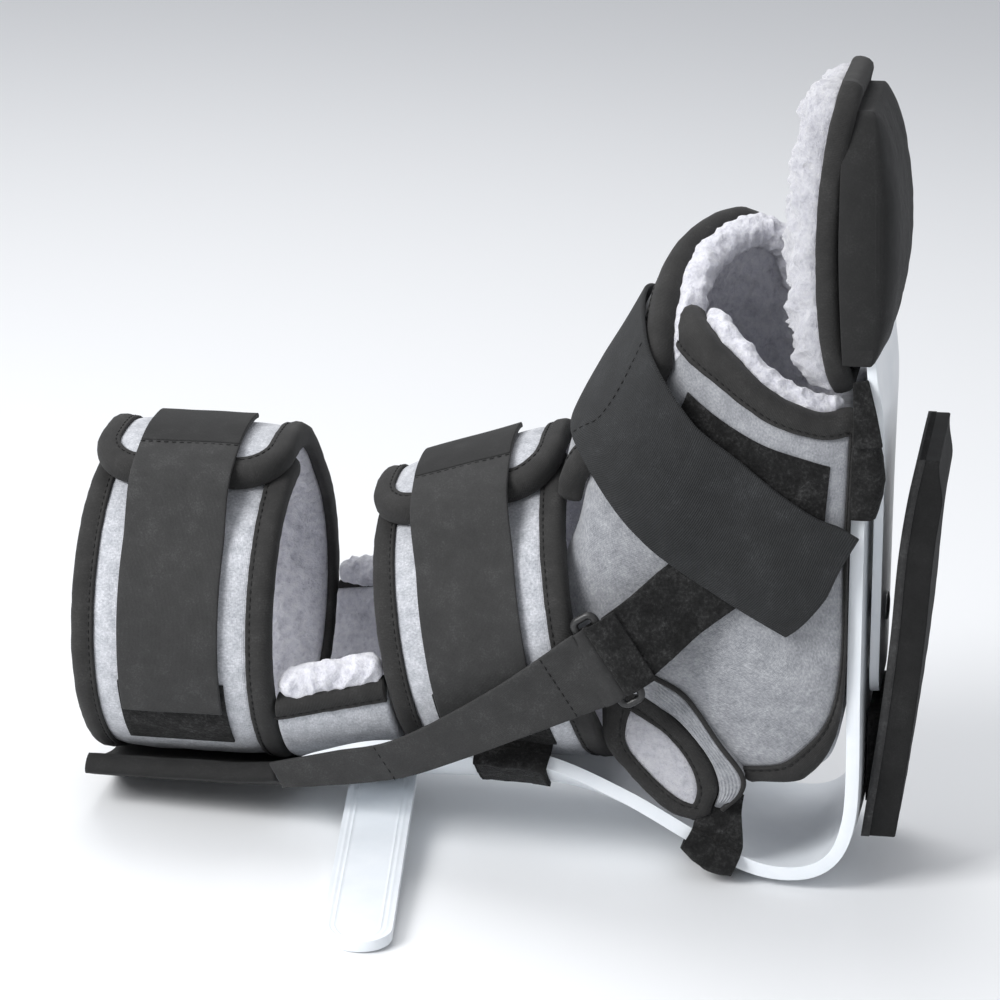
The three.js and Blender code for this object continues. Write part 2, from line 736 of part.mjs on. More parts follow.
// Sleeve on the toe pad's back that holds the toe plate
const TOE_SLEEVE = { start: 0.6, front: 3.2, back: 7, side: 3, top: 5, cloth: 1.8, play: 0.6 };
const bulge = (s, t) => Math.sin(Math.PI * s) ** 0.8 * (1 - 0.3 * (2 * t - 1) ** 2);
const toeSleeveBody = sheet(
  10,
  6,
  (s, t, o) => {
    const u = lerp(TOE_SLEEVE.start, 1, s);
    const half = toeReach(lerp(TOE_SLEEVE.start, 0.985, s));
    const outside = TOE_PLASTIC + TOE_SLEEVE.cloth + TOE_SLEEVE.back * bulge(s, t);
    const x = o === 0 ? -TOE_SLEEVE.front : outside;
    const point = toePoint(u, (2 * t - 1) * half, x, TOE_SLEEVE.side);
    return s === 1 ? point.setZ(point.z + TOE_SLEEVE.top) : point;
  },
  0,
  1,
);
const toeSleeveHollow = sheet(
  14,
  2,
  (s, t, o) => {
    const u = toePlace(lerp(0.5, 1, s));
    const offset = o === 0 ? -GAP : TOE_PLASTIC + GAP;
    const point = toePoint(u, (2 * t - 1) * toeReach(u), offset, TOE_SLEEVE.play);
    return s === 1 ? point.setZ(point.z + TOE_SLEEVE.play) : point;
  },
  0,
  1,
);
place("toe_pad_sleeve", cut(toeSleeveBody, toeSleeveHollow), "strap");

// Strap wrapped round the near edge of the splint, as the line that it follows across the splint
const WRAP_GAP = 0.7;
const WRAP_STEPS = { flat: 4, round: 6 };
function edgeWrap(name, from, to, reach) {
  const { flat, round } = WRAP_STEPS;
  const middle = PLASTIC / 2;
  const bend = middle + WRAP_GAP;
  const line = [];
  for (let i = 0; i <= flat; i += 1) line.push([-lerp(reach, 1, i / flat), -WRAP_GAP, 0]);
  for (let i = 1; i < round; i += 1) {
    const angle = (i / round) * Math.PI;
    line.push([-1, middle - bend * Math.cos(angle), bend * Math.sin(angle)]);
  }
  for (let i = 0; i <= flat; i += 1) line.push([-lerp(1, reach, i / flat), PLASTIC + WRAP_GAP, 0]);
  const grow = (row, extra) => {
    const [side, out, beyond] = row;
    const scale = (bend + extra) / bend;
    return [side, middle + (out - middle) * scale, beyond * scale];
  };
  const at = (u, row) => {
    const [side, out, beyond] = row;
    const point = splintPoint(u, side, out);
    point.y -= beyond;
    return point;
  };
  const across = [0, 0.5, 1];
  const grid = (extra) =>
    line.map((row) => across.map((t) => at(lerp(from, to, t), grow(row, extra))));
  place(name, bodyBetween(grid(STRAP), grid(0)), "strap");
}
edgeWrap("mid_hook_strap", 0.36, 0.428, 0.5);
edgeWrap("heel_hook_strap", 0.546, 0.597, 0.35);
edgeWrap("toe_hook_strap", 0.957, 0.994, 0.955);

// Heel tab: a leaf of the liner with its fleece showing between two bindings
const HEEL_INSIDE = new THREE.Vector3(70, 0, -80);
const ruled = (left, right) => thickened((u, v) => left(v).lerp(right(v), u), HEEL_INSIDE);
boundPanel(
  "heel_tab",
  "fleece",
  ruled(
    curve([[45, -46, -60], [50, -47, -79], [59, -46.5, -95], [71, -44, -105]]),
    curve([[60, -46, -67], [70, -48, -77], [83, -48, -89], [91, -44, -104]]),
  ),
  [4, 10],
  ALL_ROUND,
  5.5,
  5,
);
place(
  "heel_edging",
  sheet(
    2,
    8,
    ruled(
      curve([[77, -46.5, -80.5], [87, -47, -90.5], [94.5, -45.5, -100], [94.5, -43, -107]]),
      curve([[81, -46.5, -79.5], [91, -46.5, -88], [102, -45.5, -97.5], [104, -43, -105]]),
    ),
    -4.5,
    0,
  ),
  "jersey",
);

// Ankle strap from under the calf to its ring, and the hook strap that passes through the ring
const strapBetween = (name, upper, lower, columns, material) =>
  place(
    name,
    sheet(2, columns, ruled(curve(lower), curve(upper)), 0, STRAP),
    material,
  );
strapBetween(
  "ankle_strap",
  [[-80, -52.6, -93], [-54, -57, -85], [-28, -63, -76], [8, -68, -53], [39.2, -68.5, -28.9]],
  [[-75, -52.2, -102], [-47, -55.2, -97], [-20, -61, -90], [20, -67, -71], [55.2, -67, -54.9]],
  14,
  "strap",
);
strapBetween(
  "ankle_hook_strap",
  [[49, -66.4, -23], [59, -62, -15.5], [69, -55.5, -7], [80, -53.6, 2]],
  [[65, -65.8, -48.1], [75, -61, -39], [85, -55.5, -30], [99, -53.6, -19]],
  8,
  "pile",
);
const RING = { wire: 1.5, halfLength: 18.5, halfWidth: 4.2, x: 52, y: -66.2, z: -39, lean: 57 };
// columns: shares of the half length and the half width, round the ring
const RING_CORNERS = [
  [1, 0.7],
  [0.9, 1],
  [-0.9, 1],
  [-1, 0.7],
  [-1, -0.7],
  [-0.9, -1],
  [0.9, -1],
  [1, -0.7],
];
const ringPath = new THREE.CatmullRomCurve3(
  RING_CORNERS.map(([a, b]) => {
    const [l, w] = [a * RING.halfLength, b * RING.halfWidth];
    const [c, s] = [Math.cos(rad(RING.lean)), Math.sin(rad(RING.lean))];
    return new THREE.Vector3(RING.x - l * c + w * s, RING.y, RING.z + l * s + w * c);
  }),
  true,
  "catmullrom",
  0.2,
);
place("strap_ring", new THREE.TubeGeometry(ringPath, 28, RING.wire, 6, true), "ring");

// Foot strap over the flap and down the near side, and the loop pile under its end
const LAST_HELD_TURN = 1.86; // past it the strap leaves the foot and runs straight on
const TURN_STEP = 0.02;
// columns: turn, share of the foot at the strap's middle
const FOOT_STRAP_LINE = [
  [0.35, 0.56],
  [0.7, 0.5],
  [1, 0.45],
  [1.35, 0.51],
  [1.6, 0.56],
  [1.95, 0.605],
];
const LOOP_PATCH_LINE = [[1.3, 0.61], [1.95, 0.79]];
const END_FLARE = 0.4; // how far the foot strap's corner towards the toes stands out, in half widths
const bandOnFoot = (name, rows, line, [from, to], width, slant, offset, thickness, material) =>
  place(
    name,
    sheet(
      rows,
      2,
      (s, t, o) => {
        const across = 2 * t - 1;
        const turn = lerp(from, to, s) + slant * across * s ** 5;
        const middle = along(line, turn)[0];
        const held = Math.min(turn, LAST_HELD_TURN);
        const share = measure((u) => footBase(u, held), [middle - 0.1], [middle + 0.1]);
        const stretch = slant && across > 0 ? 1 + END_FLARE * s ** 5 : 1;
        const at = (where) =>
          footPoint(middle + (across * stretch * width * 0.1) / share, where, offset(held) + o);
        const ahead = at(held).sub(at(held - TURN_STEP));
        return at(held).addScaledVector(ahead, (turn - held) / TURN_STEP);
      },
      0,
      thickness,
    ),
    material,
  );
bandOnFoot(
  "foot_strap",
  22,
  FOOT_STRAP_LINE,
  [0.35, 1.915],
  FOOT_STRAP_WIDTH,
  0.13,
  (turn) => {
    const down = smoothstep(turn, 1.3, 1.56);
    const lift = FLAP_LIFT * smoothstep(turn, 0.66, 0.94) * (1 - down);
    return lift + BINDING_PROUD + 3 * GAP + (STRAP + 1.2) * down;
  },
  STRAP,
  "strap",
);
bandOnFoot(
  "foot_loop_patch",
  8,
  LOOP_PATCH_LINE,
  [1.3, 1.9],
  30,
  0,
  () => GAP,
  LOOP_PILE,
  "pile",
);

// The boot lies on the back of its heel and on the sleeve at its calf end.
const REST_TILT = rad(-3.66);
boot.rotation.y = REST_TILT;
boot.updateMatrixWorld(true);
const box = new THREE.Box3().setFromObject(boot, true);
boot.position.set(-(box.min.x + box.max.x) / 2, -(box.min.y + box.max.y) / 2, -box.min.z);

export default boot;
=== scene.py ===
"""A padded contracture boot on a pale floor.

Every piece is made in the boot's own modelling frame, in millimetres, and then placed in the
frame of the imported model. X runs along the shin towards the sole, Z towards the shin's front, and
the near side is at negative Y. A surface is a function of two places and an offset square to it.
"""
import math

import bpy
import numpy as np
from mathutils import Matrix, Vector, noise


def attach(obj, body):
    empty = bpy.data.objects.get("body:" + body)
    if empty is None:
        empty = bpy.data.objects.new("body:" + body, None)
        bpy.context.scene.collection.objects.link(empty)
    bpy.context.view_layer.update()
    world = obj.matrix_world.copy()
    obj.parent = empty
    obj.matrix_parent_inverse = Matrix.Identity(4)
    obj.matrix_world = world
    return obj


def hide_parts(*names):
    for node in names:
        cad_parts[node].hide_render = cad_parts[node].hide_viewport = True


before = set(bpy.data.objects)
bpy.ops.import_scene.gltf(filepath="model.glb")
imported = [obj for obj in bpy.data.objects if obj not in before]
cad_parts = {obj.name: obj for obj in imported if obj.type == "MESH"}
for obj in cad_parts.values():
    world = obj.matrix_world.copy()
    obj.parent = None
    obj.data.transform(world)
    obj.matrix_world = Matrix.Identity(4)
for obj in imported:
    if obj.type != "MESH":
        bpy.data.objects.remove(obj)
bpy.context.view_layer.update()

MM = 0.001
REST_TILT = math.radians(-3.66)
REST_SHIFT = (-6.2462, 43.5024, 126.5055)
PLACE = Matrix.Translation(REST_SHIFT) @ Matrix.Rotation(REST_TILT, 4, "Y")

# Padding, tape and straps
WALL = 7.5
BINDING = 9.5
PROUD = 0.7
GAP = 0.35
FLAP_LIFT = WALL + 2 * PROUD + GAP
STRAP = 1.8
STRAP_WIDTH = 39
FOOT_STRAP_WIDTH = 46
LOOP_PILE = 1.2

# Plastic
PLASTIC = 5
CORNER = 12
TOE_PLASTIC = 3.5

ROOT = "boot"


# Reading of tables and surfaces

def hermite(a, b, start, end, t):
    """Smooth curve from a to b, with its slopes at the start and the end, for t from 0 to 1."""
    return ((2 * t**3 - 3 * t**2 + 1) * a + (t**3 - 2 * t**2 + t) * start
            + (3 * t**2 - 2 * t**3) * b + (t**3 - t**2) * end)


def along(table, at):
    """Values of a table's later columns, on a smooth curve through its rows, at places in the first."""
    table = np.asarray(table, float)
    x = np.clip(np.asarray(at, float), table[0, 0], table[-1, 0])
    last = len(table) - 1
    i = np.clip(np.searchsorted(table[:, 0], x) - 1, 0, last - 1)
    a, b = table[i], table[i + 1]
    before, after = table[np.maximum(i - 1, 0)], table[np.minimum(i + 2, last)]
    step = (b[..., :1] - a[..., :1])
    t = (x[..., None] - a[..., :1]) / step
    start = (b - before) / (b[..., :1] - before[..., :1])
    end = (after - a) / (after[..., :1] - a[..., :1])
    return hermite(a, b, step * start, step * end, t)[..., 1:]


def through(points):
    """Smooth curve through evenly read points, from 0 to 1."""
    places = np.linspace(0, 1, len(points))[:, None]
    table = np.hstack([places, np.asarray(points, float)])
    return lambda t: along(table, t)


def smoothstep(x, low, high):
    t = np.clip((np.asarray(x, float) - low) / (high - low), 0, 1)
    return t * t * (3 - 2 * t)


def mix(a, b, t):
    return a + (b - a) * t


def bulge(across, power, least=0.0):
    """Height of a cushion across its width, from -1 to 1. A high power gives it a flat top."""
    return np.sqrt(np.maximum(1 - across**power, least))


def lattice(rows, columns, u=(0, 1), v=(0, 1)):
    """Two grids of evenly spaced places, from the first to the last of each pair."""
    return np.meshgrid(np.linspace(*u, rows), np.linspace(*v, columns), indexing="ij")


def unit(vectors):
    return vectors / np.maximum(np.linalg.norm(vectors, axis=-1, keepdims=True), 1e-12)


def point(x, y, z):
    return np.stack(np.broadcast_arrays(x, y, z), axis=-1)


def thickened(surface, inside):
    """Adds an offset square to a surface that has none, outwards from a point inside the boot."""
    step = 1e-3

    def square(u, v):
        u0, v0 = np.clip(u, step, 1 - step), np.clip(v, step, 1 - step)
        du = surface(u0 + step, v0) - surface(u0 - step, v0)
        dv = surface(u0, v0 + step) - surface(u0, v0 - step)
        return unit(np.cross(du, dv))

    half = np.array(0.5)
    sign = np.sign(np.sum(square(half, half) * (surface(half, half) - np.asarray(inside))))
    return lambda u, v, o: surface(u, v) + square(u, v) * (sign * np.asarray(o))[..., None]


def span(surface, start, end):
    """Length in millimetres of lines on a surface between two places each."""
    steps = 12
    length = 0
    before = surface(*start, 0 * start[0])
    for i in range(1, steps + 1):
        here = [mix(a, b, i / steps) for a, b in zip(start, end)]
        after = surface(*here, 0 * here[0])
        length = length + np.linalg.norm(after - before, axis=-1)
        before = after
    return length


# Roughness of cloth and fleece, as offsets at points in millimetres

def bumps(points, height, size, seed):
    """Smooth random heights at points, for bumps of a height and a size."""
    flat = np.asarray(points).reshape(-1, 3) / size + seed
    values = np.array([noise.noise(Vector(p)) for p in flat])
    return height * values.reshape(np.asarray(points).shape[:-1])


def fleece(points, depth):
    """Clumps of curly pile: rounded tufts with finer curls on them."""
    tufts = 1 - np.abs(bumps(points, height=1, size=7.5, seed=3.1))
    return depth * (0.75 * tufts**2 + bumps(points, height=0.3, size=3.1, seed=7.7))


def creases(points, depth):
    """Broad creases of knit over foam, with smaller ones between them."""
    broad = bumps(points, height=1, size=26, seed=1.3)
    return depth * (broad + bumps(points, height=0.45, size=11, seed=5.9))


# Meshes

def in_packed_frame(points):
    """Points in millimetres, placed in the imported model's frame in metres."""
    rotation = np.array(PLACE.to_3x3())
    return ((np.asarray(points) @ rotation.T + np.array(REST_SHIFT)) * MM).tolist()


def add_piece(name, points, faces, uvs, materials, which=None):
    """Object from points in millimetres. which: the number of each face's material."""
    mesh = bpy.data.meshes.new(name)
    mesh.from_pydata(in_packed_frame(points), [], faces)
    layer = mesh.uv_layers.new(name="UVMap")
    corners = np.empty(len(mesh.loops), dtype=np.int32)
    mesh.loops.foreach_get("vertex_index", corners)
    layer.data.foreach_set("uv", (np.asarray(uvs)[corners] * MM).ravel())
    for material in materials:
        mesh.materials.append(material)
    if which is not None:
        mesh.polygons.foreach_set("material_index", which)
    mesh.polygons.foreach_set("use_smooth", [True] * len(mesh.polygons))
    mesh.update()
    obj = bpy.data.objects.new(name, mesh)
    bpy.context.scene.collection.objects.link(obj)
    return obj


def grid_uvs(grid):
    """Place of each point of a grid in millimetres along its rows and columns."""
    down = np.linalg.norm(np.diff(grid, axis=0), axis=-1).mean(axis=1)
    over = np.linalg.norm(np.diff(grid, axis=1), axis=-1).mean(axis=0)
    u = np.concatenate([[0], np.cumsum(down)])
    v = np.concatenate([[0], np.cumsum(over)])
    return np.stack(np.meshgrid(u, v, indexing="ij"), axis=-1)


def closed_body(name, front, back, materials):
    """Closed piece between two grids. Its back takes the last material."""
    rows, columns = front.shape[:2]
    at = np.arange(rows * columns).reshape(rows, columns)
    far = at + rows * columns
    quads = [
        np.stack([at[:-1, :-1], at[:-1, 1:], at[1:, 1:], at[1:, :-1]], -1).reshape(-1, 4),
        np.stack([far[:-1, :-1], far[1:, :-1], far[1:, 1:], far[:-1, 1:]], -1).reshape(-1, 4),
        np.stack([at[:-1, 0], at[1:, 0], far[1:, 0], far[:-1, 0]], -1),
        np.stack([at[:-1, -1], far[:-1, -1], far[1:, -1], at[1:, -1]], -1),
        np.stack([at[0, :-1], far[0, :-1], far[0, 1:], at[0, 1:]], -1),
        np.stack([at[-1, :-1], at[-1, 1:], far[-1, 1:], far[-1, :-1]], -1),
    ]
    sizes = [len(part) for part in quads]
    which = np.repeat([0, len(materials) - 1, 0], [sizes[0], sizes[1], sum(sizes[2:])])
    faces = np.concatenate(quads)
    points = np.concatenate([front.reshape(-1, 3), back.reshape(-1, 3)])
    if volume(points, faces) < 0:
        faces = faces[:, ::-1]
    uvs = grid_uvs(front).reshape(-1, 2)
    return add_piece(name, points, faces.tolist(), np.vstack([uvs, uvs]), materials, which)


def volume(points, quads):
    """Six times the room that quads enclose. It is negative where they point inwards."""
    a, b, c, d = (points[quads[:, k]] for k in range(4))
    return np.sum(a * np.cross(b, c)) + np.sum(a * np.cross(c, d))


def swept(name, rings, materials, loop=False):
    """Closed piece through a row of closed rings of points."""
    count, around = rings.shape[:2]
    at = np.arange(count * around).reshape(count, around)
    if loop:
        at = np.vstack([at, at[:1]])
    at = np.hstack([at, at[:, :1]])
    quads = np.stack([at[:-1, :-1], at[:-1, 1:], at[1:, 1:], at[1:, :-1]], -1).reshape(-1, 4)
    faces = quads.tolist()
    points = rings.reshape(-1, 3)
    if not loop:
        faces += [at[0, :-1][::-1].tolist(), at[-1, :-1].tolist()]
    if volume(points, quads) < 0:
        faces = [face[::-1] for face in faces]
    return add_piece(name, points, faces, grid_uvs(rings).reshape(-1, 2), materials)


BEVELED_FROM = math.radians(40)


def beveled(piece, width, segments=2):
    """Rounds the edges at which faces meet at more than the angle above. Width is in millimetres."""
    modifier = piece.modifiers.new("Rounded edges", "BEVEL")
    modifier.width = width * MM
    modifier.segments = segments
    modifier.limit_method = "ANGLE"
    modifier.angle_limit = BEVELED_FROM
    return piece


def stands_for(piece, slot, *nodes, body=ROOT):
    """Rides a piece on its body, and hides the nodes that it is shown instead of. Its slot is not used.
    """
    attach(piece, body)
    if nodes:
        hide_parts(*nodes)
    return piece


def spokes_round(ahead, up, count):
    """Directions square to the way ahead, evenly all the way round it."""
    side = unit(np.cross(ahead, up))
    other = np.cross(ahead, side)
    angles = np.linspace(0, 2 * math.pi, count + 1)[:-1, None]
    return np.cos(angles) * side[..., None, :] + np.sin(angles) * other[..., None, :]


def tube(name, path, radius, material, slot, loop=False):
    """Round cord along a line of points."""
    if loop:
        ahead = unit(np.roll(path, -1, axis=0) - np.roll(path, 1, axis=0))
    else:
        ahead = unit(np.gradient(path, axis=0))
    rings = path[:, None] + radius * spokes_round(ahead, (0.0, 1.0, 0.0), 16)
    return stands_for(swept(name, rings, [material], loop), slot)


def turned(name, start, end, profile, material, node):
    """Round piece of steel on an axis. profile rows: place along the axis, radius."""
    start, end = np.array(start, float), np.array(end, float)
    axis = unit(end - start)
    spokes = spokes_round(axis, (0.3, 0.8, 0.52), 36)
    rings = np.array([start + axis * place + spokes * radius for place, radius in profile])
    return stands_for(swept(name, rings, [material]), "zinc_steel", node)


# Materials

def new_material(name, roughness, **inputs):
    """Material whose shader has the inputs that are given by name."""
    material = bpy.data.materials.new(name)
    material.use_nodes = True
    tree = material.node_tree
    shader = tree.nodes["Principled BSDF"]
    shader.inputs["Roughness"].default_value = roughness
    for key, value in inputs.items():
        shader.inputs[key.replace("_", " ")].default_value = value
    return material, tree, shader


def add_node(tree, kind, links=(), **values):
    """New node with its input values by name, and links as (input, output socket)."""
    made = tree.nodes.new(kind)
    for key, value in values.items():
        name = key.replace("_", " ")
        if name in made.inputs:
            made.inputs[name].default_value = value
        else:
            setattr(made, key, value)
    for socket, source in links:
        tree.links.new(made.inputs[socket], source)
    return made


def pattern_space(tree, size, kind):
    """Coordinates in millimetres, divided by the pattern's size along each axis."""
    coordinates = add_node(tree, "ShaderNodeTexCoord")
    mapping = add_node(tree, "ShaderNodeMapping", [("Vector", coordinates.outputs[kind])])
    mapping.inputs["Scale"].default_value = [1 / (MM * s) for s in size]
    return mapping.outputs["Vector"]


def add_noise(tree, size, detail=2.0, roughness=0.5, kind="Object"):
    """Noise of one size, or of three along the axes, in millimetres."""
    space = pattern_space(tree, np.broadcast_to(size, 3).tolist(), kind)
    made = add_node(tree, "ShaderNodeTexNoise", [("Vector", space)], Scale=1.0, Detail=detail,
                    Roughness=roughness)
    return made.outputs["Fac"]


def add_waves(tree, size, axis, distortion):
    """Ribs across the piece's own rows or columns."""
    space = pattern_space(tree, (size, size, 1), "UV")
    made = add_node(tree, "ShaderNodeTexWave", [("Vector", space)], Scale=0.5, Detail=1.0,
                    Distortion=distortion, bands_direction=axis)
    return made.outputs["Fac"]


def add_bump(tree, shader, height, strength, distance):
    """Relief over the relief that the shader has. Distance is in millimetres."""
    made = add_node(tree, "ShaderNodeBump", [("Height", height)], Strength=strength,
                    Distance=distance * MM)
    previous = shader.inputs["Normal"].links
    if previous:
        tree.links.new(made.inputs["Normal"], previous[0].from_socket)
    tree.links.new(shader.inputs["Normal"], made.outputs["Normal"])


def add_math(tree, operation, *sources):
    made = add_node(tree, "ShaderNodeMath", operation=operation)
    for socket, source in zip(made.inputs, sources):
        if isinstance(source, (int, float)):
            socket.default_value = source
        else:
            tree.links.new(socket, source)
    return made.outputs[0]


def blended(tree, first, second, share):
    """Sum of two patterns: a share of the first and the rest of the second."""
    return add_math(tree, "ADD", add_math(tree, "MULTIPLY", first, share),
                    add_math(tree, "MULTIPLY", second, 1 - share))


def tinted(tree, shader, pattern, stops, shade=1.0):
    """Base colour from a pattern. stops: place on its ramp, colour before it is shaded. shade: a factor
    on every colour, painted light above 1 and painted shade below it.
    """
    ramp = add_node(tree, "ShaderNodeValToRGB", [("Fac", pattern)])
    elements = ramp.color_ramp.elements
    while len(elements) < len(stops):
        elements.new(0.5)
    for element, (place, color) in zip(elements, stops):
        element.position = place
        element.color = (*(shade * part for part in color), 1)
    tree.links.new(shader.inputs["Base Color"], ramp.outputs["Color"])


def grey(value, warmth=0.0):
    return (value * (1 + warmth), value, value * (1 - warmth))


def heather_jersey(name, shade):
    """Light grey knit, flecked lighter and darker along its wales. Its shade brightens its colours
    above 1, as painted light, and darkens them below 1, as painted shade.
    """
    material, tree, shader = new_material(name, 0.92, Sheen_Weight=0.25, Sheen_Roughness=0.6)
    flecks = add_noise(tree, (0.8, 1.2, 1), 3.0, 0.7, "UV")
    clouds = add_noise(tree, 5, 3.0, 0.6)
    tinted(tree, shader, blended(tree, flecks, clouds, 0.62),
           [(0.30, (0.19, 0.20, 0.22)), (0.46, (0.32, 0.33, 0.355)),
            (0.56, (0.41, 0.42, 0.445)), (0.74, (0.62, 0.63, 0.66))], shade)
    wales = add_waves(tree, 1.1, "Y", 1.2)
    add_bump(tree, shader, wales, 0.2, 0.3)
    add_bump(tree, shader, flecks, 0.25, 0.25)
    return material


def white_fleece(name, shade):
    """Deep pile, white on its tufts, with painted cool grey shade between them. A shade below 1 darkens
    all of it as painted shade.
    """
    material, tree, shader = new_material(
        name, 1.0, Sheen_Weight=0.5, Sheen_Roughness=0.7, Subsurface_Weight=0.15,
        Subsurface_Radius=(0.004, 0.004, 0.0045), Subsurface_Scale=1.0)
    tufts = add_noise(tree, 2.6, 4.0, 0.66)
    # Painted shade: the ramp turns darker and cooler where the tuft pattern is low, where the first
    # bump sinks the pile.
    tinted(tree, shader, tufts,
           [(0.28, (0.46, 0.46, 0.52)), (0.46, (0.63, 0.63, 0.69)), (0.64, (0.74, 0.74, 0.78))], shade)
    curls = add_noise(tree, 1.1, 4.0, 0.7)
    add_bump(tree, shader, tufts, 0.6, 1.6)
    add_bump(tree, shader, curls, 0.75, 0.9)
    return material


def black_cloth(name, value, cell, strength, axis="Y", roughness=0.75, sheen=0.04, warmth=0.0):
    """Woven black cloth: ribs of a given size with wear between them."""
    material, tree, shader = new_material(name, roughness, Sheen_Weight=sheen, Sheen_Roughness=0.5,
                                          Specular_IOR_Level=0.3)
    weave = add_waves(tree, cell, axis, 0.4)
    wear = add_noise(tree, 9, 4.0, 0.65)
    lint = add_noise(tree, 0.6, 1.0)
    tinted(tree, shader, blended(tree, wear, lint, 0.6),
           [(0.3, grey(value * 0.65, warmth)), (0.55, grey(value, warmth)),
            (0.8, grey(value * 2.1, warmth))])
    add_bump(tree, shader, weave, strength, 0.3)
    add_bump(tree, shader, lint, 0.25, 0.15)
    return material


def looped_pile(name, lift):
    """Black loops, with painted highlights mottling them where they would catch the light."""
    material, tree, shader = new_material(name, 0.95, Sheen_Weight=0.04, Specular_IOR_Level=0.2)
    curls = add_noise(tree, 1.3, 4.0, 0.75)
    patches = add_noise(tree, 6, 3.0, 0.6)
    # Painted highlight: the loops are lighter where the curl pattern, which also raises them, is high.
    tinted(tree, shader, blended(tree, curls, patches, 0.6),
           [(0.36, grey(0.006 + lift)), (0.50, grey(0.014 + lift)),
            (0.60, grey(0.032 + lift)), (0.72, grey(0.085 + lift))])
    add_bump(tree, shader, curls, 0.9, 0.8)
    return material


def satin_plastic():
    """White thermoplastic with a satin face and faint handling marks."""
    material, tree, shader = new_material("White plastic", 0.3, Subsurface_Weight=0.08,
                                          Subsurface_Radius=(0.003, 0.003, 0.003))
    haze = add_noise(tree, 28, 5.0, 0.6)
    tinted(tree, shader, haze, [(0.3, (0.76, 0.80, 0.84)), (0.7, (0.84, 0.87, 0.90))])
    marks = add_noise(tree, (1.5, 24, 1.5), 3.0, 0.6)
    rough = add_node(tree, "ShaderNodeMapRange", [("Value", marks)], To_Min=0.24, To_Max=0.42)
    tree.links.new(shader.inputs["Roughness"], rough.outputs["Result"])
    add_bump(tree, shader, haze, 0.06, 0.6)
    return material


def closed_cell_foam():
    """Black foam with fine pores on its cut faces."""
    material, tree, shader = new_material("Black foam", 0.8, Specular_IOR_Level=0.25)
    pores = add_noise(tree, 0.55, 2.0, 0.6)
    scuffs = add_noise(tree, 14, 5.0, 0.65)
    tinted(tree, shader, blended(tree, pores, scuffs, 0.35),
           [(0.35, grey(0.008)), (0.55, grey(0.014)), (0.75, grey(0.03))])
    add_bump(tree, shader, pores, 0.5, 0.3)
    return material


def grained(name, roughness, size, dark, light, depth, **inputs):
    """Smooth material with a fine grain of two colours."""
    material, tree, shader = new_material(name, roughness, **inputs)
    grain = add_noise(tree, size, 3.0, 0.6)
    tinted(tree, shader, grain, [(0.3, dark), (0.7, light)])
    add_bump(tree, shader, grain, depth, depth)
    return material


# Lit and shaded copies of one knit: the leg's jersey is brightened to 1.2 as painted light, and the
# foot wrap's and heel edging's jersey is darkened to 0.76 as painted shade.
jersey = heather_jersey("Heather jersey", 1.2)
shaded_jersey = heather_jersey("Shaded jersey", 0.76)
pile_fleece = white_fleece("White fleece", 1.0)
# Painted shade: a copy of the white fleece darkened to 0.7, for the toe pad, which faces the key lamp,
# and for the heel tab.
shaded_fleece = white_fleece("Shaded fleece", 0.7)
tape = black_cloth("Binding tape", 0.026, 0.9, 0.4, "X", roughness=0.85, sheen=0.05, warmth=0.02)
webbing = black_cloth("Smooth strap", 0.030, 0.8, 0.3, sheen=0.06)
dark_webbing = black_cloth("Strap's sewn end", 0.016, 0.8, 0.3)
ribbed = black_cloth("Ribbed strap", 0.020, 1.3, 0.6, "X", roughness=0.8, warmth=-0.05)
sleeve_cloth = black_cloth("Sleeve cloth", 0.014, 0.7, 0.3)
thread = black_cloth("Black thread", 0.008, 0.5, 0.3, "X", roughness=0.6, sheen=0.0)
loops = looped_pile("Loop pile", 0.0)
grey_loops = looped_pile("Grey loops", 0.035)
plastic = satin_plastic()
foam = closed_cell_foam()
steel = grained("Zinc steel", 0.35, (0.8, 3, 0.8), (0.42, 0.43, 0.45), (0.62, 0.63, 0.65), 0.1,
                Metallic=1.0)
black_plastic = grained("Black plastic", 0.38, 1.2, grey(0.012), grey(0.03), 0.15)


# Stitches: lines of points in millimetres that the thread follows

stitch_lines = []
STITCH = {"pitch": 3.0, "length": 1.9, "radius": 0.28}
THREAD_PROUD = {"cuff": 0.1, "sleeve": 0.1, "strap": 0.15}  # how far its middle stands off the cloth


def stitch(points, closed=False):
    points = np.asarray(points, float)
    stitch_lines.append(np.vstack([points, points[:1]]) if closed else points)


# Padded walls with tape on their edges

TAPE_PROFILE = [  # columns: share of the tape from the edge inwards, share of its thickness
    (1.0, 0.86), (0.97, 0.98), (0.90, 1.0), (0.82, 0.95), (0.74, 0.99), (0.55, 1.05), (0.32, 1.03),
    (0.14, 0.93), (0.03, 0.72), (0.0, 0.5), (0.03, 0.28), (0.14, 0.08), (0.32, -0.02), (0.55, -0.04),
    (0.74, 0.0), (0.90, 0.0), (0.97, 0.02), (1.0, 0.14),
]
STITCH_SHARE = 0.82  # place of the stitches across the tape
INNER_FOLD = 0.42  # width of the tape's inner half beside its outer one
SEWN = 0.8  # how far the wall runs in under the tape
TAPE_SINK = 0.15  # how deep the stitches lie in the tape
PUFF = {"run": 3.2, "sunk": 1.3, "swell": 1.5, "crease": 0.7}  # rise of the jersey from a seam
NAP = {"run": 1.7, "sunk": 0.6, "swell": 0.9}  # and of the pile from a tape's inner fold


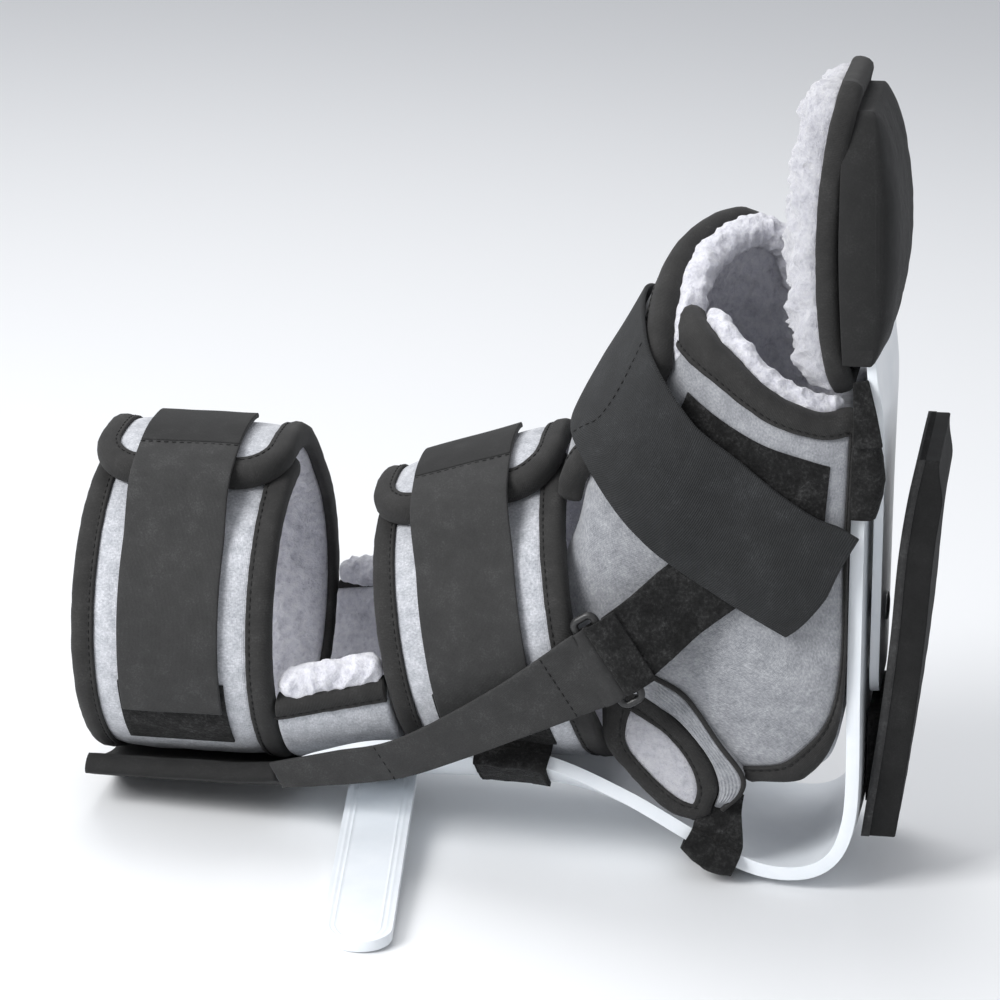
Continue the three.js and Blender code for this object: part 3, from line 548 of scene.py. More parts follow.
def binding(name, surface, edge, inset, low, high, nodes, loop=False):
    """Folded tape along an edge. edge and inset are rows of places on the surface."""
    share, height = np.asarray(TAPE_PROFILE).T
    share = np.where(height < 0.5, share * INNER_FOLD, share)
    places = mix(edge[:, None, :], inset[:, None, :], share[None, :, None])
    offsets = np.broadcast_to(mix(low, high, height), places.shape[:2])
    rings = surface(places[..., 0], places[..., 1], offsets)
    middle = rings.mean(axis=1, keepdims=True)
    rings = rings + unit(rings - middle) * bumps(rings, height=0.25, size=4.5, seed=2.2)[..., None]
    piece = swept(name, rings, [tape], loop)
    line = mix(edge, inset, STITCH_SHARE)
    stitch(surface(line[:, 0], line[:, 1], np.full(len(line), high - TAPE_SINK)), loop)
    return stands_for(piece, "binding_tape", *nodes)


def wall(name, surface, outer_places, inner_places, thickness, nodes, low=0.0, depth=2.2,
         slot="grey_jersey", covers=None):
    """Padded wall, knit outside and pile inside. Places are two grids and the distance to a seam."""
    u, v, from_seam = outer_places
    middle = surface(u, v, np.full(u.shape, low + thickness))
    puff = 1 - np.exp(-from_seam / PUFF["run"])
    outer = low + thickness - PUFF["sunk"] + (PUFF["swell"] + creases(middle, PUFF["crease"])) * puff
    a, b, from_fold = inner_places
    lining = surface(a, b, np.full(a.shape, low))
    rise = 1 - np.exp(-from_fold / NAP["run"])
    nap = NAP["sunk"] + NAP["swell"] * depth + fleece(lining, depth)
    front, back = surface(u, v, outer), surface(a, b, low + NAP["sunk"] - nap * rise)
    piece = closed_body(name, front, back, covers or [jersey, pile_fleece])
    return stands_for(piece, slot, *nodes)


ROLL = {"lumps": 2.4, "blunt": 8, "tip": 0.02}  # tip: least share of the radius, squared


def pile_roll(name, path, radius):
    """Pile that swells past an edge of the liner, along a path."""
    ahead = unit(np.gradient(path, axis=0))
    along_roll = np.linspace(-1, 1, len(path))
    full = radius * bulge(along_roll, ROLL["blunt"], ROLL["tip"])
    rings = path[:, None] + spokes_round(ahead, (0.2, -0.3, 0.93), 40) * full[:, None, None]
    lumps = fleece(rings, ROLL["lumps"]) - ROLL["lumps"] / 2
    rings = rings + unit(rings - path[:, None]) * lumps[..., None]
    piece = swept(name, rings, [pile_fleece])
    return stands_for(piece, "fleece")


# Leg cuffs and the bridge between them

ANKLE_TILT = math.radians(10.8)
CALF_FLATNESS = 0.92
LEG = np.array([  # columns: x, z, radius, tilt
    (-155, -47.5, 55.5, 0),
    (-77, -47.5, 55.5, 0),
    (-36, -53.5, 45.5, ANKLE_TILT),
    (40, -39, 56, ANKLE_TILT),
])
CUFF_CORNER = 20
CUFF_END_ROOM = 0.05  # degrees that the padding leaves at the flap's end
STRAP_END = 0.35  # how far the sewn end stands up from its strap
LIFT_TURNS = (138, 178)  # angles between which the flap rises over the near end
STRAP_RIPPLE = {"height": 0.35, "size": 17, "seed": 4.4}
STRAP_CLIMB = 24  # degrees before the flap's end over which the strap rises onto it
STRAP_ANGLES = (66, 186)
PATCH = {"angles": (46, 78), "width": STRAP_WIDTH + 2.5}
CUFFS = [  # columns: name, first row of LEG, length, radius, near end, flap end, seam on its strap
    ("upper", 0, 78, 64, 174, 150, 0.79),
    ("ankle", 2, 77.4, 58, 174, 148, 0.79),
]


def leg_point(where, angle, offset):
    """Point on the leg. Angle 0 is the calf's back, 90 the near side, 180 the shin's front."""
    where, angle, offset = np.broadcast_arrays(where, angle, offset)
    i = np.clip(np.floor(where).astype(int), 0, len(LEG) - 2)
    x, z, radius, tilt = np.moveaxis(mix(LEG[i], LEG[i + 1], (where - i)[..., None]), -1, 0)
    r = radius + offset
    level = -r * np.cos(np.radians(angle))
    forward = np.where(level < 0, level * CALF_FLATNESS, level)
    return point(x - forward * np.sin(tilt), -r * np.sin(np.radians(angle)), z + forward * np.cos(tilt))


def cuff(prefix, first, length, radius, near_end, flap_end, strap_seam):
    """Cuff round the leg with its tape, loop patch and strap."""
    half = length / 2
    per_degree = radius * math.pi / 180
    start, end = -near_end, 360 - flap_end

    def surface(across, turn, offset):
        lift = FLAP_LIFT * smoothstep(turn, *LIFT_TURNS)
        return leg_point(first + 0.5 + across / length, -turn, offset + lift)

    def reach(turn, strip):
        corner = CUFF_CORNER - strip
        left = np.clip(((end - turn) * per_degree - strip) / corner, 0, 1)
        return half - strip - corner * (1 - np.sqrt(1 - (1 - left) ** 2))

    def places(strip):
        turns = mix(start + strip / per_degree, end - strip / per_degree - CUFF_END_ROOM,
                    np.linspace(0, 1, 190))
        t, s = np.meshgrid(turns, np.linspace(-1, 1, 38), indexing="ij")
        width = np.maximum(reach(t, strip), 2)
        from_end = np.minimum(t - t.min(), t.max() - t) * per_degree
        return s * width, t, np.minimum(width * (1 - np.abs(s)), from_end)

    wall(f"{prefix}_cuff_padding", surface, places(BINDING - SEWN),
         places(BINDING * INNER_FOLD - SEWN), WALL, [f"{prefix}_cuff"])

    side = np.linspace(start, end - CUFF_CORNER / per_degree, 130)
    edge = [(half, turn) for turn in side]
    inset = [(half - BINDING, max(turn, start + BINDING / per_degree)) for turn in side]
    for angle in np.linspace(0, math.pi / 2, 12)[1:]:
        for row, r in ((edge, CUFF_CORNER), (inset, CUFF_CORNER - BINDING)):
            row.append((half - CUFF_CORNER + r * math.cos(angle),
                        end - CUFF_CORNER / per_degree + r * math.sin(angle) / per_degree))
    across_end = np.linspace(1, -1, 22)[1:-1, None] * [1, 0]

    def around(row):
        row = np.array(row)
        opening, last = row[0], row[-1]
        over_end = across_end * abs(last[0]) + [0, last[1]]
        over_start = -across_end * abs(opening[0]) + [0, opening[1]]
        return np.vstack([row, over_end, (row * [-1, 1])[::-1], over_start])

    binding(f"{prefix}_cuff_tape", surface, around(edge), around(inset), -PROUD, WALL + PROUD,
            [f"{prefix}_cuff_binding"], loop=True)

    def band(name, angles, width, offset, thickness, material, slot, node):
        """Strap or patch on the cuff. Its place takes shares of its length and width."""
        def place(u, v, o):
            angle = mix(*angles, u)
            climb = smoothstep(angle, flap_end - STRAP_CLIMB, flap_end)
            rise = climb * smoothstep(360 - angle, *LIFT_TURNS)
            lifted = 0 if material is loops else FLAP_LIFT * rise
            return leg_point(first + 0.5 + (2 * v - 1) * width / 2 / length, angle,
                             WALL + GAP + offset + lifted + o)

        u, v = lattice(90, 24)
        flat = place(u, v, 0 * u)
        top = place(u, v, thickness + bumps(flat, **STRAP_RIPPLE))
        piece = closed_body(name, top, flat, [material])
        stands_for(beveled(piece, 0.45), slot, node)
        return place

    band(f"{prefix}_cuff_pile", PATCH["angles"], PATCH["width"], 0, LOOP_PILE, loops, "loop_pile",
         f"{prefix}_cuff_loop_patch")
    place = band(f"{prefix}_cuff_webbing", STRAP_ANGLES, STRAP_WIDTH, LOOP_PILE + GAP, STRAP, webbing,
                 "strap_webbing", f"{prefix}_cuff_strap")
    across = np.linspace(0.03, 0.97, 30)
    stitch(place(strap_seam + 0 * across, across, STRAP + THREAD_PROUD["cuff"] + 0 * across))
    u, v = lattice(34, 24, (strap_seam + 0.006, 0.998), (0.004, 0.996))
    ripple = bumps(place(u, v, 0 * u), **STRAP_RIPPLE)
    piece = closed_body(f"{prefix}_cuff_strap_end", place(u, v, STRAP + STRAP_END + ripple),
                        place(u, v, 0 * u + STRAP / 2), [dark_webbing])
    stands_for(beveled(piece, 0.3), "strap_webbing")


for row in CUFFS:
    cuff(*row)


def bound_panel(name, surface, grid, tapes, strip=BINDING, thickness=WALL, depth=2.2,
                slot="grey_jersey", covers=None, taper=None, below=PROUD):
    """Padded panel whose outer face is the surface. tapes: the edges that each tape follows."""
    edges = [edge for followed in tapes.values() for edge in followed]
    one = np.array(1.0)

    def share(edge, at, part, less):
        if edge not in edges:
            return np.zeros_like(at)
        width = strip * part * (taper(edge, at) if taper else 1) - less
        if edge in ("bottom", "top"):
            return width / span(surface, (at, 0 * at), (at, 0 * at + 1))
        return width / span(surface, (0 * at, at), (0 * at + 1, at))

    def inner(u, v, part, less=0.0):
        return (mix(share("left", v, part, less), 1 - share("right", v, part, less), u),
                mix(share("bottom", u, part, less), 1 - share("top", u, part, less), v))

    u, v = lattice(*grid)
    high = span(surface, (0.5 * one, 0 * one), (0.5 * one, one))
    wide = span(surface, (0 * one, 0.5 * one), (one, 0.5 * one))
    gaps = {"left": u * wide, "right": (1 - u) * wide, "bottom": v * high, "top": (1 - v) * high}
    from_edge = np.min([gaps[edge] for edge in edges], axis=0)
    wall(f"{name}_padding", surface, (*inner(u, v, 1, SEWN), from_edge),
         (*inner(u, v, INNER_FOLD, SEWN), from_edge), thickness, [name], low=-thickness, depth=depth,
         slot=slot, covers=covers)
    walk = {
        "bottom": lambda s: (s, 0 * s), "right": lambda s: (0 * s + 1, s),
        "top": lambda s: (1 - s, 0 * s + 1), "left": lambda s: (0 * s, 1 - s),
    }
    for ending, followed in tapes.items():
        rim = np.vstack([np.stack(walk[edge](np.linspace(0, 1, 70)), -1)[:-1] for edge in followed])
        loop = len(followed) == 4
        if not loop:
            rim = np.vstack([rim, np.array([[float(x) for x in walk[followed[-1]](one)]])])
        inset = np.stack(inner(rim[:, 0], rim[:, 1], 1), -1)
        binding(f"{name}_{ending}_tape", surface, rim, inset, -thickness - below, PROUD,
                [f"{name}_{ending}"], loop=loop)


BRIDGE_FAR = (-82, -96)  # angle of its far edge at the calf and at the ankle
BRIDGE_NEAR = (71, 85)
BRIDGE_PILE = {"past": 0.022, "depth": 6.5, "radius": 6.0}


def bridge_panel(u, v, offset):
    angle = mix(mix(*BRIDGE_FAR, u), mix(*BRIDGE_NEAR, u), v)
    return leg_point(1 + mix(0.02, 0.98, u), angle, WALL + offset)


bound_panel("calf_bridge", bridge_panel, (26, 90), {"near_binding": ["top"], "far_binding": ["bottom"]})
for side, edge in (("near", 1 + BRIDGE_PILE["past"]), ("far", -BRIDGE_PILE["past"])):
    along_edge = np.linspace(0.01, 1.0, 90)
    path = bridge_panel(along_edge, edge + 0 * along_edge, -BRIDGE_PILE["depth"] + 0 * along_edge)
    pile_roll(f"calf_bridge_{side}_pile", path, BRIDGE_PILE["radius"])


# Foot wrap

FOOT = [  # columns: share of the foot, then x, z and half width at six places up its side
    (0, 102, -93, 44, 72, -71, 46, 40, -54, 46, 29, -22, 43, 36.5, 6, 32, 38, 24, 0),
    (0.15, 121, -90, 44, 95, -62, 48, 62, -38, 49, 45, -6, 49, 41, 24, 36, 43, 38, 0),
    (0.4, 134, -64, 45, 115, -42, 50, 90, -16, 51, 68, 10, 50, 55, 36, 38, 50, 52, 0),
    (0.7, 135, 0, 46, 121, 14, 50, 103, 28, 51, 85, 46, 48, 69, 62, 36, 63, 74, 0),
    (1, 136, 50, 46, 127, 62, 50, 114, 84, 51, 101, 102, 47, 88, 112, 31, 82, 113, 0),
]
FOOT_INSIDE = (90, 0, 0)
FOOT_PLACES = 6


def foot_base(share, turn):
    """Foot's surface. Turn 0 is the far edge of the sole, 1 the instep, 2 the near edge."""
    share, turn = np.broadcast_arrays(share, turn)
    ring = along(FOOT, share).reshape(*share.shape, FOOT_PLACES, 3)[..., [0, 2, 1]]
    mirrored = ring[..., -2::-1, :] * [1, -1, 1]
    ring = np.concatenate([ring, mirrored], axis=-2)
    last = ring.shape[-2] - 1
    x = np.clip(turn / 2, 0, 1) * last
    i = np.clip(np.ceil(x).astype(int) - 1, 0, last - 1)
    t = (x - i)[..., None]

    def pick(k):
        k = np.clip(k, 0, last)[..., None, None]
        return np.take_along_axis(ring, np.broadcast_to(k, (*share.shape, 1, 3)), axis=-2)[..., 0, :]

    a, b, before, after = pick(i), pick(i + 1), pick(i - 1), pick(i + 2)
    start = (b - before) / np.where(i == 0, 1, 2)[..., None]
    end = (after - a) / np.where(i == last - 1, 1, 2)[..., None]
    return hermite(a, b, start, end, t)


foot_surface = thickened(lambda u, v: foot_base(u, 2 * v), FOOT_INSIDE)


def foot_point(share, turn, offset):
    share, turn, offset = np.broadcast_arrays(share, turn, offset)
    return foot_surface(share, turn / 2, offset)


NEAR_RIM = [(0, 1), (0.2, 0.93), (0.4, 0.875), (0.6, 0.85), (0.8, 0.845), (1, 0.83)]
NEAR_TURN = 0.87
FAR_RIM = [(0, 0.99), (0.4, 0.99), (0.8, 1), (1, 0.9), (1.22, 0.74)]
FAR_TURN = 1.22
SOLE_REACH = 3.2  # how far the near panel is drawn out to the splint
RIM_RISE = 5.0  # and its rim up beside it
DRAWN_TURNS = (1.6, 2)  # turns over which that grows
FLAP_TURNS = (0.7, 0.98)  # turns over which the flap rises over the near panel
FLAP_START = 0.06  # share of the foot at which the flap begins
NEAR_TAPE = {"sole": 0.9, "rim": 1.05, "under": 0.36, "narrows": (0.22, 0.6)}  # shares of its width


def near_panel(u, v, offset):
    turn = 2 - v * NEAR_TURN
    place = foot_point(u * along(NEAR_RIM, v * NEAR_TURN)[..., 0], turn, offset)
    edge = smoothstep(turn, *DRAWN_TURNS)
    return place + point(SOLE_REACH * edge, 0 * edge, RIM_RISE * edge * u**6)


def flap_panel(u, v, offset):
    turn = v * FAR_TURN
    lift = FLAP_LIFT * smoothstep(turn, *FLAP_TURNS)
    return foot_point(mix(FLAP_START, along(FAR_RIM, turn)[..., 0], u), turn, offset + lift)


def near_taper(edge, at):
    """The tape is widest on the rim and turns under the sole's edge."""
    if edge == "right":
        return NEAR_TAPE["sole"] + 0 * at
    return mix(NEAR_TAPE["rim"], NEAR_TAPE["under"], smoothstep(at, *NEAR_TAPE["narrows"]))


bound_panel("foot_wrap_near", near_panel, (100, 90), {"binding": ["bottom", "right"]}, depth=3.0,
            taper=near_taper, covers=[shaded_jersey, pile_fleece])
bound_panel("foot_wrap_flap", flap_panel, (100, 130), {"binding": ["right", "top"]}, depth=3.0,
            covers=[shaded_jersey, pile_fleece])
RIM_PILE = [  # columns: name, panel, first and last place along its rim, past the rim, depth, radius
    ("foot_wrap_near_pile", near_panel, 0.02, 0.99, 0.004, 10.5, 4.4),
    ("foot_wrap_flap_pile", flap_panel, 0.3, 0.99, -0.03, 12.5, 6.2),
]
for name, panel, first, last, past, depth, radius in RIM_PILE:
    along_rim = np.linspace(first, last, 170)
    pile_roll(name, panel(1 + past + 0 * along_rim, along_rim, -depth + 0 * along_rim), radius)

bed_line = through([(137.2, 0, 50), (137.2, 0, 0), (137.2, 0, -50), (135.3, 0, -75), (127, 0, -87.5),
                    (104, 0, -92)])
BED = {"half_width": 35.6, "thickness": 6.5, "border_length": 1 / 12, "border_width": 0.2}


def bed_base(u, v):
    line = bed_line(u)
    return point(line[..., 0], mix(-1, 1, v) * BED["half_width"], line[..., 2])


def foot_bed():
    surface = thickened(bed_base, FOOT_INSIDE)
    u, v = lattice(110, 46)
    border = np.minimum(np.minimum(u, 1 - u) / BED["border_length"],
                        np.minimum(v, 1 - v) / BED["border_width"])
    outer = surface(u, v, 0 * u)
    inner = -BED["thickness"] + (2.0 - fleece(outer, 2.6)) * smoothstep(border, 0, 1)
    piece = closed_body("foot_bed_fleece", outer, surface(u, v, inner), [jersey, pile_fleece])
    stands_for(piece, "fleece", "foot_bed")


foot_bed()


# Splint

SPLINT = [  # columns: place, x and z of the inner face's middle, rise of its edges, half width
    (0, -152, -109.4, 12, 48), (0.08, -115, -109.4, 12, 48), (0.16, -80, -109.2, 13, 48),
    (0.22, -60, -107.6, 18.5, 48), (0.28, -36, -105.6, 22.5, 48), (0.36, 0, -103.4, 20.2, 48),
    (0.43, 27, -104, 18, 47), (0.49, 54, -108, 10.5, 46), (0.55, 81, -118.5, 6, 45),
    (0.6, 100, -126.5, 4, 44), (0.64, 114, -128.8, 3, 44), (0.68, 127, -126.8, 2.5, 44),
    (0.72, 135.5, -119.5, 2, 44), (0.76, 139.3, -107, 1.4, 43), (0.8, 139.8, -90, 0.8, 43),
    (0.87, 139, -55, 0.5, 43), (0.94, 138.6, 0, 0.4, 43), (1, 138.6, 50, 0.4, 43),
]
SPLINT_LENGTH = 470
PLASTIC_MIDDLE = PLASTIC / 2


def splint_base(u, side):
    x, z, rise, half = np.moveaxis(along(SPLINT, u), -1, 0)
    ahead, behind = along(SPLINT, np.minimum(u + 1e-3, 1)), along(SPLINT, np.maximum(u - 1e-3, 0))
    inward = unit(point(behind[..., 1] - ahead[..., 1], 0, ahead[..., 0] - behind[..., 0]))
    trough = (half * half + rise * rise) / (2 * rise)
    y = side * half
    return point(x, y, z) + inward * (trough - np.sqrt(trough**2 - y**2))[..., None]


splint_surface = thickened(lambda u, v: splint_base(u, 2 * v - 1), (0, 0, 0))


def splint_point(u, side, outward):
    u, side, outward = np.broadcast_arrays(u, side, outward)
    return splint_surface(u, (side + 1) / 2, outward)


def rounded(distance, half, corner):
    """Share of the half width that a round corner leaves at a distance from an end."""
    left = np.clip(distance / corner, 0, 1)
    return 1 - corner * (1 - np.sqrt(1 - (1 - left) ** 2)) / half


def eased(rows, low, high, share=0.14):
    """Places along a plate, closer together in its round corners."""
    s = np.linspace(0, 1, rows)
    near = low * (1 - np.cos(np.clip(s / share, 0, 1) * math.pi / 2))
    far = 1 - high * (1 - np.cos(np.clip((1 - s) / share, 0, 1) * math.pi / 2))
    middle = mix(low, 1 - high, (s - share) / (1 - 2 * share))
    return np.where(s < share, near, np.where(s > 1 - share, far, middle))


def splint():
    edge = CORNER / SPLINT_LENGTH
    u, t = np.meshgrid(eased(150, edge, edge), np.linspace(-1, 1, 33), indexing="ij")
    half = along(SPLINT, u)[..., 3]
    side = t * rounded(np.minimum(u, 1 - u) * SPLINT_LENGTH, half, CORNER)
    outer, inner = splint_point(u, side, PLASTIC), splint_point(u, side, 0)
    piece = closed_body("splint_plate", outer, inner, [plastic])
    stands_for(beveled(piece, 1.1, 3), "white_plastic", "splint")


splint()

SLEEVE = {"end": 0.165, "gap": 0.3, "cloth": 1.0, "cap": 0.02, "drawn": 0.012}
SLEEVE_STITCHES = (0.008, 0.016)  # how far the two seams lie from the sleeve's end


def half_turn(steps, radius):
    """Line round an edge of the splint: depth, and how far it stands past the edge."""
    angles = np.linspace(0, math.pi, steps)
    return np.stack([PLASTIC_MIDDLE - radius * np.cos(angles), radius * np.sin(angles)], axis=-1)


def across_splint(steps, arc):
    """Line round the splint's section: side, depth and how far it stands past the edge."""
    turn = half_turn(arc, PLASTIC_MIDDLE)[1:-1]
    top = [(s, 0, 0) for s in np.linspace(-1, 1, steps)]
    near = [(1, depth, past) for depth, past in turn]
    bottom = [(s, PLASTIC, 0) for s in np.linspace(1, -1, steps)]
    far = [(-1, depth, -past) for depth, past in turn[::-1]]
    return np.array(top + near + bottom + far)


def splint_sleeve():
    side, depth, beyond = across_splint(26, 8).T
    places = np.concatenate([np.linspace(0, SLEEVE["cap"], 8),
                             np.linspace(SLEEVE["cap"], SLEEVE["end"], 40)[1:]])

    def shell(extra):
        grow = (PLASTIC_MIDDLE + extra) / PLASTIC_MIDDLE
        u, s = np.meshgrid(places, side, indexing="ij")
        grid = splint_point(u, s, mix(PLASTIC_MIDDLE, depth, grow))
        grid[..., 1] += beyond * grow
        grid[..., 0] -= extra * (1 - smoothstep(u, 0, SLEEVE["drawn"]))
        return grid

    inner, outer = shell(SLEEVE["gap"]), shell(SLEEVE["gap"] + SLEEVE["cloth"])
    outer = outer + unit(outer - inner) * bumps(outer, height=0.3, size=12, seed=8.8)[..., None]
    piece = swept("splint_sleeve_cloth", np.concatenate([outer, inner[::-1]]), [sleeve_cloth])
    stands_for(piece, "strap_webbing", "splint_sleeve")
    for from_end in SLEEVE_STITCHES:
        seam = splint_point(SLEEVE["end"] - from_end, -1.0, np.linspace(0, PLASTIC, 8))
        seam[:, 1] -= SLEEVE["gap"] + SLEEVE["cloth"] + THREAD_PROUD["sleeve"]
        stitch(seam)


splint_sleeve()


# Anti-rotation bar on its rivet

BAR = {"width": 26, "thickness": 4, "x": -46, "tip": -151, "end": 13, "skew": math.radians(-7.5)}
BAR_LINE = [  # columns: y, z of the upper face
    (-151, -120.7), (-90, -117.2), (-40, -113.9), (-24, -112.9), (0, -112.9), (13, -112.9),
]
BAR_RIDGES = {"from_middle": (8.6, 10.6), "height": 0.28, "width": 0.35}


def bar():
    corner = BAR["width"] / 2
    s, t = lattice(140, 61, v=(-1, 1))
    y = mix(BAR["tip"], BAR["end"], 0.5 - 0.5 * np.cos(s * math.pi))
    near = np.clip(np.minimum(y - BAR["tip"], BAR["end"] - y) / corner, 0, 1)
    half = np.maximum(corner * np.sqrt(1 - (1 - near) ** 2), 1)
    across = t * half
    from_edge = half - np.abs(across)
    ridge = sum(BAR_RIDGES["height"] * np.exp(-((from_edge - (corner - r)) / BAR_RIDGES["width"]) ** 2)
                for r in BAR_RIDGES["from_middle"])
    x = BAR["x"] + np.tan(BAR["skew"]) * y + across
    z = along(BAR_LINE, y)[..., 0]
    outer, inner = point(x, y, z + ridge), point(x, y, z - BAR["thickness"])
    piece = closed_body("bar_plate", outer, inner, [plastic])
    stands_for(beveled(piece, 0.8, 3), "white_plastic", "anti_rotation_bar", body="bar")


bar()


RIVET = {"bottom": -118.6, "top": -104.1}
RIVET_PROFILE = [  # columns: place along the axis, radius
    (0, 2.2), (0.3, 4.6), (1.2, 5.9), (1.25, 3.0), (13.2, 3.0), (13.3, 5.9), (14.1, 4.8), (14.5, 2.4),
]
SCREW = {"z": -34, "inner": 139.6, "outer": 150.8}
SCREW_PROFILE = [  # columns: place along the axis, radius
    (0, 2.7), (0.3, 3.0), (4.5, 3.0), (4.5, 6.0), (5.7, 6.0), (5.7, 3.0), (9.7, 3.0), (9.75, 5.9),
    (10.6, 5.2), (11.1, 3.2),
]
turned("bar_rivet_body", (BAR["x"], 0, RIVET["bottom"]), (BAR["x"], 0, RIVET["top"]), RIVET_PROFILE,
       steel, "bar_rivet")
turned("toe_plate_screw_body", (SCREW["inner"], 0, SCREW["z"]), (SCREW["outer"], 0, SCREW["z"]),
       SCREW_PROFILE, steel, "toe_plate_screw")


# Toe plate

TOE_PLATE = [  # columns: place, x and z of the face towards the foot, half width
    (0, 145.6, -63, 26), (0.15, 145.6, -28, 27), (0.32, 145.6, 10, 29), (0.42, 145.6, 34, 34),
    (0.5, 145.2, 52, 41), (0.57, 143.2, 66, 47), (0.65, 141.6, 84, 49), (0.8, 139.8, 113, 47),
    (0.92, 139.3, 139, 43), (1, 139, 157, 40),
]
TOE_LENGTH = 220
TOE_CORNER = 24


def toe_point(u, side, offset, grow=0.0):
    x, z, half = np.moveaxis(along(TOE_PLATE, u), -1, 0)
    return point(x + offset, side * (half + grow), z)


def toe_reach(u):
    half = along(TOE_PLATE, u)[..., 2]
    return np.where(u < 0.5, rounded(u * TOE_LENGTH, half, CORNER),
                    rounded((1 - u) * TOE_LENGTH, half, TOE_CORNER))


def toe_plate():
    u, t = np.meshgrid(eased(110, CORNER / TOE_LENGTH, TOE_CORNER / TOE_LENGTH, 0.16),
                       np.linspace(-1, 1, 25), indexing="ij")
    side = t * toe_reach(u)
    front, back = toe_point(u, side, 0), toe_point(u, side, TOE_PLASTIC)
    piece = closed_body("toe_plate_body", front, back, [plastic])
    stands_for(beveled(piece, 0.9, 3), "white_plastic", "toe_plate")


toe_plate()


# Foam sole and its wedge of hook pile

FOAM = {"thickness": 12.7, "half_width": 34, "bottom": -115, "top": 34}
FOAM_BEVEL = {"start": 0.88, "share": 0.35}  # of the length and of the thickness, at the top
FOAM_FACING = {"depth": 3.0, "proud": 0.25}
FOAM_FACE = [(-115, 145), (-70, 150.4), (-36, 153.6), (-4, 155.6), (19, 158.4), (38, 162)]  # z, x
HOOK_WEDGE = {"half_width": 25, "top": -69, "bottom": -104, "face": 145.4, "gap": 0.6, "thinnest": 0.6}


def foam_sole():
    s, t = lattice(70, 25, v=(-1, 1))
    z = mix(FOAM["bottom"], FOAM["top"], s)
    x = along(FOAM_FACE, z)[..., 0]
    bevel = FOAM["thickness"] * FOAM_BEVEL["share"] * smoothstep(s, FOAM_BEVEL["start"], 1)
    y = t * FOAM["half_width"]
    outer = point(x + FOAM["thickness"] - bevel, y, z)
    outer[..., 0] += bumps(outer, height=0.15, size=6, seed=6.6)
    piece = closed_body("foam_sole_body", outer, point(x, y, z), [foam])
    stands_for(beveled(piece, 0.7, 3), "black_foam", "foam_sole")
    side = t * (FOAM["half_width"] + FOAM_FACING["proud"])
    facing = closed_body("foam_facing", point(x + FOAM_FACING["depth"], side, z),
                         point(x - FOAM_FACING["proud"], side, z), [grey_loops])
    stands_for(facing, "loop_pile")


def hook_wedge():
    s, t = lattice(40, 50, v=(-1, 1))
    z = mix(HOOK_WEDGE["top"], HOOK_WEDGE["bottom"], s)
    y = t * HOOK_WEDGE["half_width"]
    face = HOOK_WEDGE["face"]
    outer = np.maximum(along(FOAM_FACE, z)[..., 0] - HOOK_WEDGE["gap"], face + HOOK_WEDGE["thinnest"])
    z = z + bumps(point(outer, y, z), height=0.4, size=2.0, seed=9.1)
    piece = closed_body("foam_patch_pile", point(outer, y, z), point(face, y, z), [loops])
    stands_for(piece, "loop_pile", "foam_hook_patch")


foam_sole()
hook_wedge()


# Toe pad and the sleeve on its back

TOE_PAD = [  # columns: place, x and z of its back, half width
    (0, 137.5, 60, 36), (0.12, 134.5, 70, 45), (0.3, 131.8, 88, 48), (0.5, 130.4, 112, 48),
    (0.7, 131, 136, 46), (0.88, 133.5, 157, 40), (1, 136.5, 171, 26),
]
PAD_FLEECE = {"inset": 0.035, "back": 4.2, "start": 4.3, "least": 5.1, "most": 15.64}
LUMPS = {"height": 3.4, "size": 10.5, "seed": 2.1}  # of the toe pad's fleece
LUMPS_SUNK = 2.6
SIDE_LUMPS = {"height": 2.4, "size": 8, "seed": 4.9}
TOP_LUMPS = {"height": 1.4, "size": 5.5, "seed": 11.9}


def pad_base(u, v):
    x, z, half = np.moveaxis(along(TOE_PAD, u), -1, 0)
    return point(x, mix(-1, 1, v) * half, z)


pad_back = thickened(pad_base, FOOT_INSIDE)
bound_panel("toe_pad_back", pad_back, (60, 50), {"binding": ["bottom", "right", "top", "left"]},
            strip=10, thickness=3, depth=0.3, covers=[sleeve_cloth, shaded_fleece], below=4.2)


def toe_fleece():
    inset = PAD_FLEECE["inset"]
    u, v = lattice(110, 90, (inset, 1 - inset), (inset, 1 - inset))
    s, t = lattice(110, 90, (-1, 1), (-1, 1))
    plump = bulge(s, 6) * bulge(t, 6)
    depth = PAD_FLEECE["start"] + mix(PAD_FLEECE["least"], PAD_FLEECE["most"], plump)
    base = pad_back(u, v, -depth)
    clumps = fleece(base, 4.4) + bumps(base, **LUMPS) - LUMPS_SUNK
    front = pad_back(u, v, -depth - clumps)
    loose = 1 - plump * 0.5
    front[..., 1] += bumps(base, **SIDE_LUMPS) * loose
    front[..., 2] += bumps(base, **TOP_LUMPS) * loose
    back = pad_back(u, v, 0 * u - PAD_FLEECE["back"])
    piece = closed_body("toe_pad_pile", back, front, [shaded_fleece])
    stands_for(piece, "fleece", "toe_pad_fleece")


toe_fleece()
TOE_SLEEVE = {"start": 0.6, "front": 8.4, "back": 8.5, "side": 3, "top": 5, "cloth": 1.2}
TOE_SLEEVE_FLAT = {"ends": 0.22, "edges": 0.3}  # shares of its depth that are left there


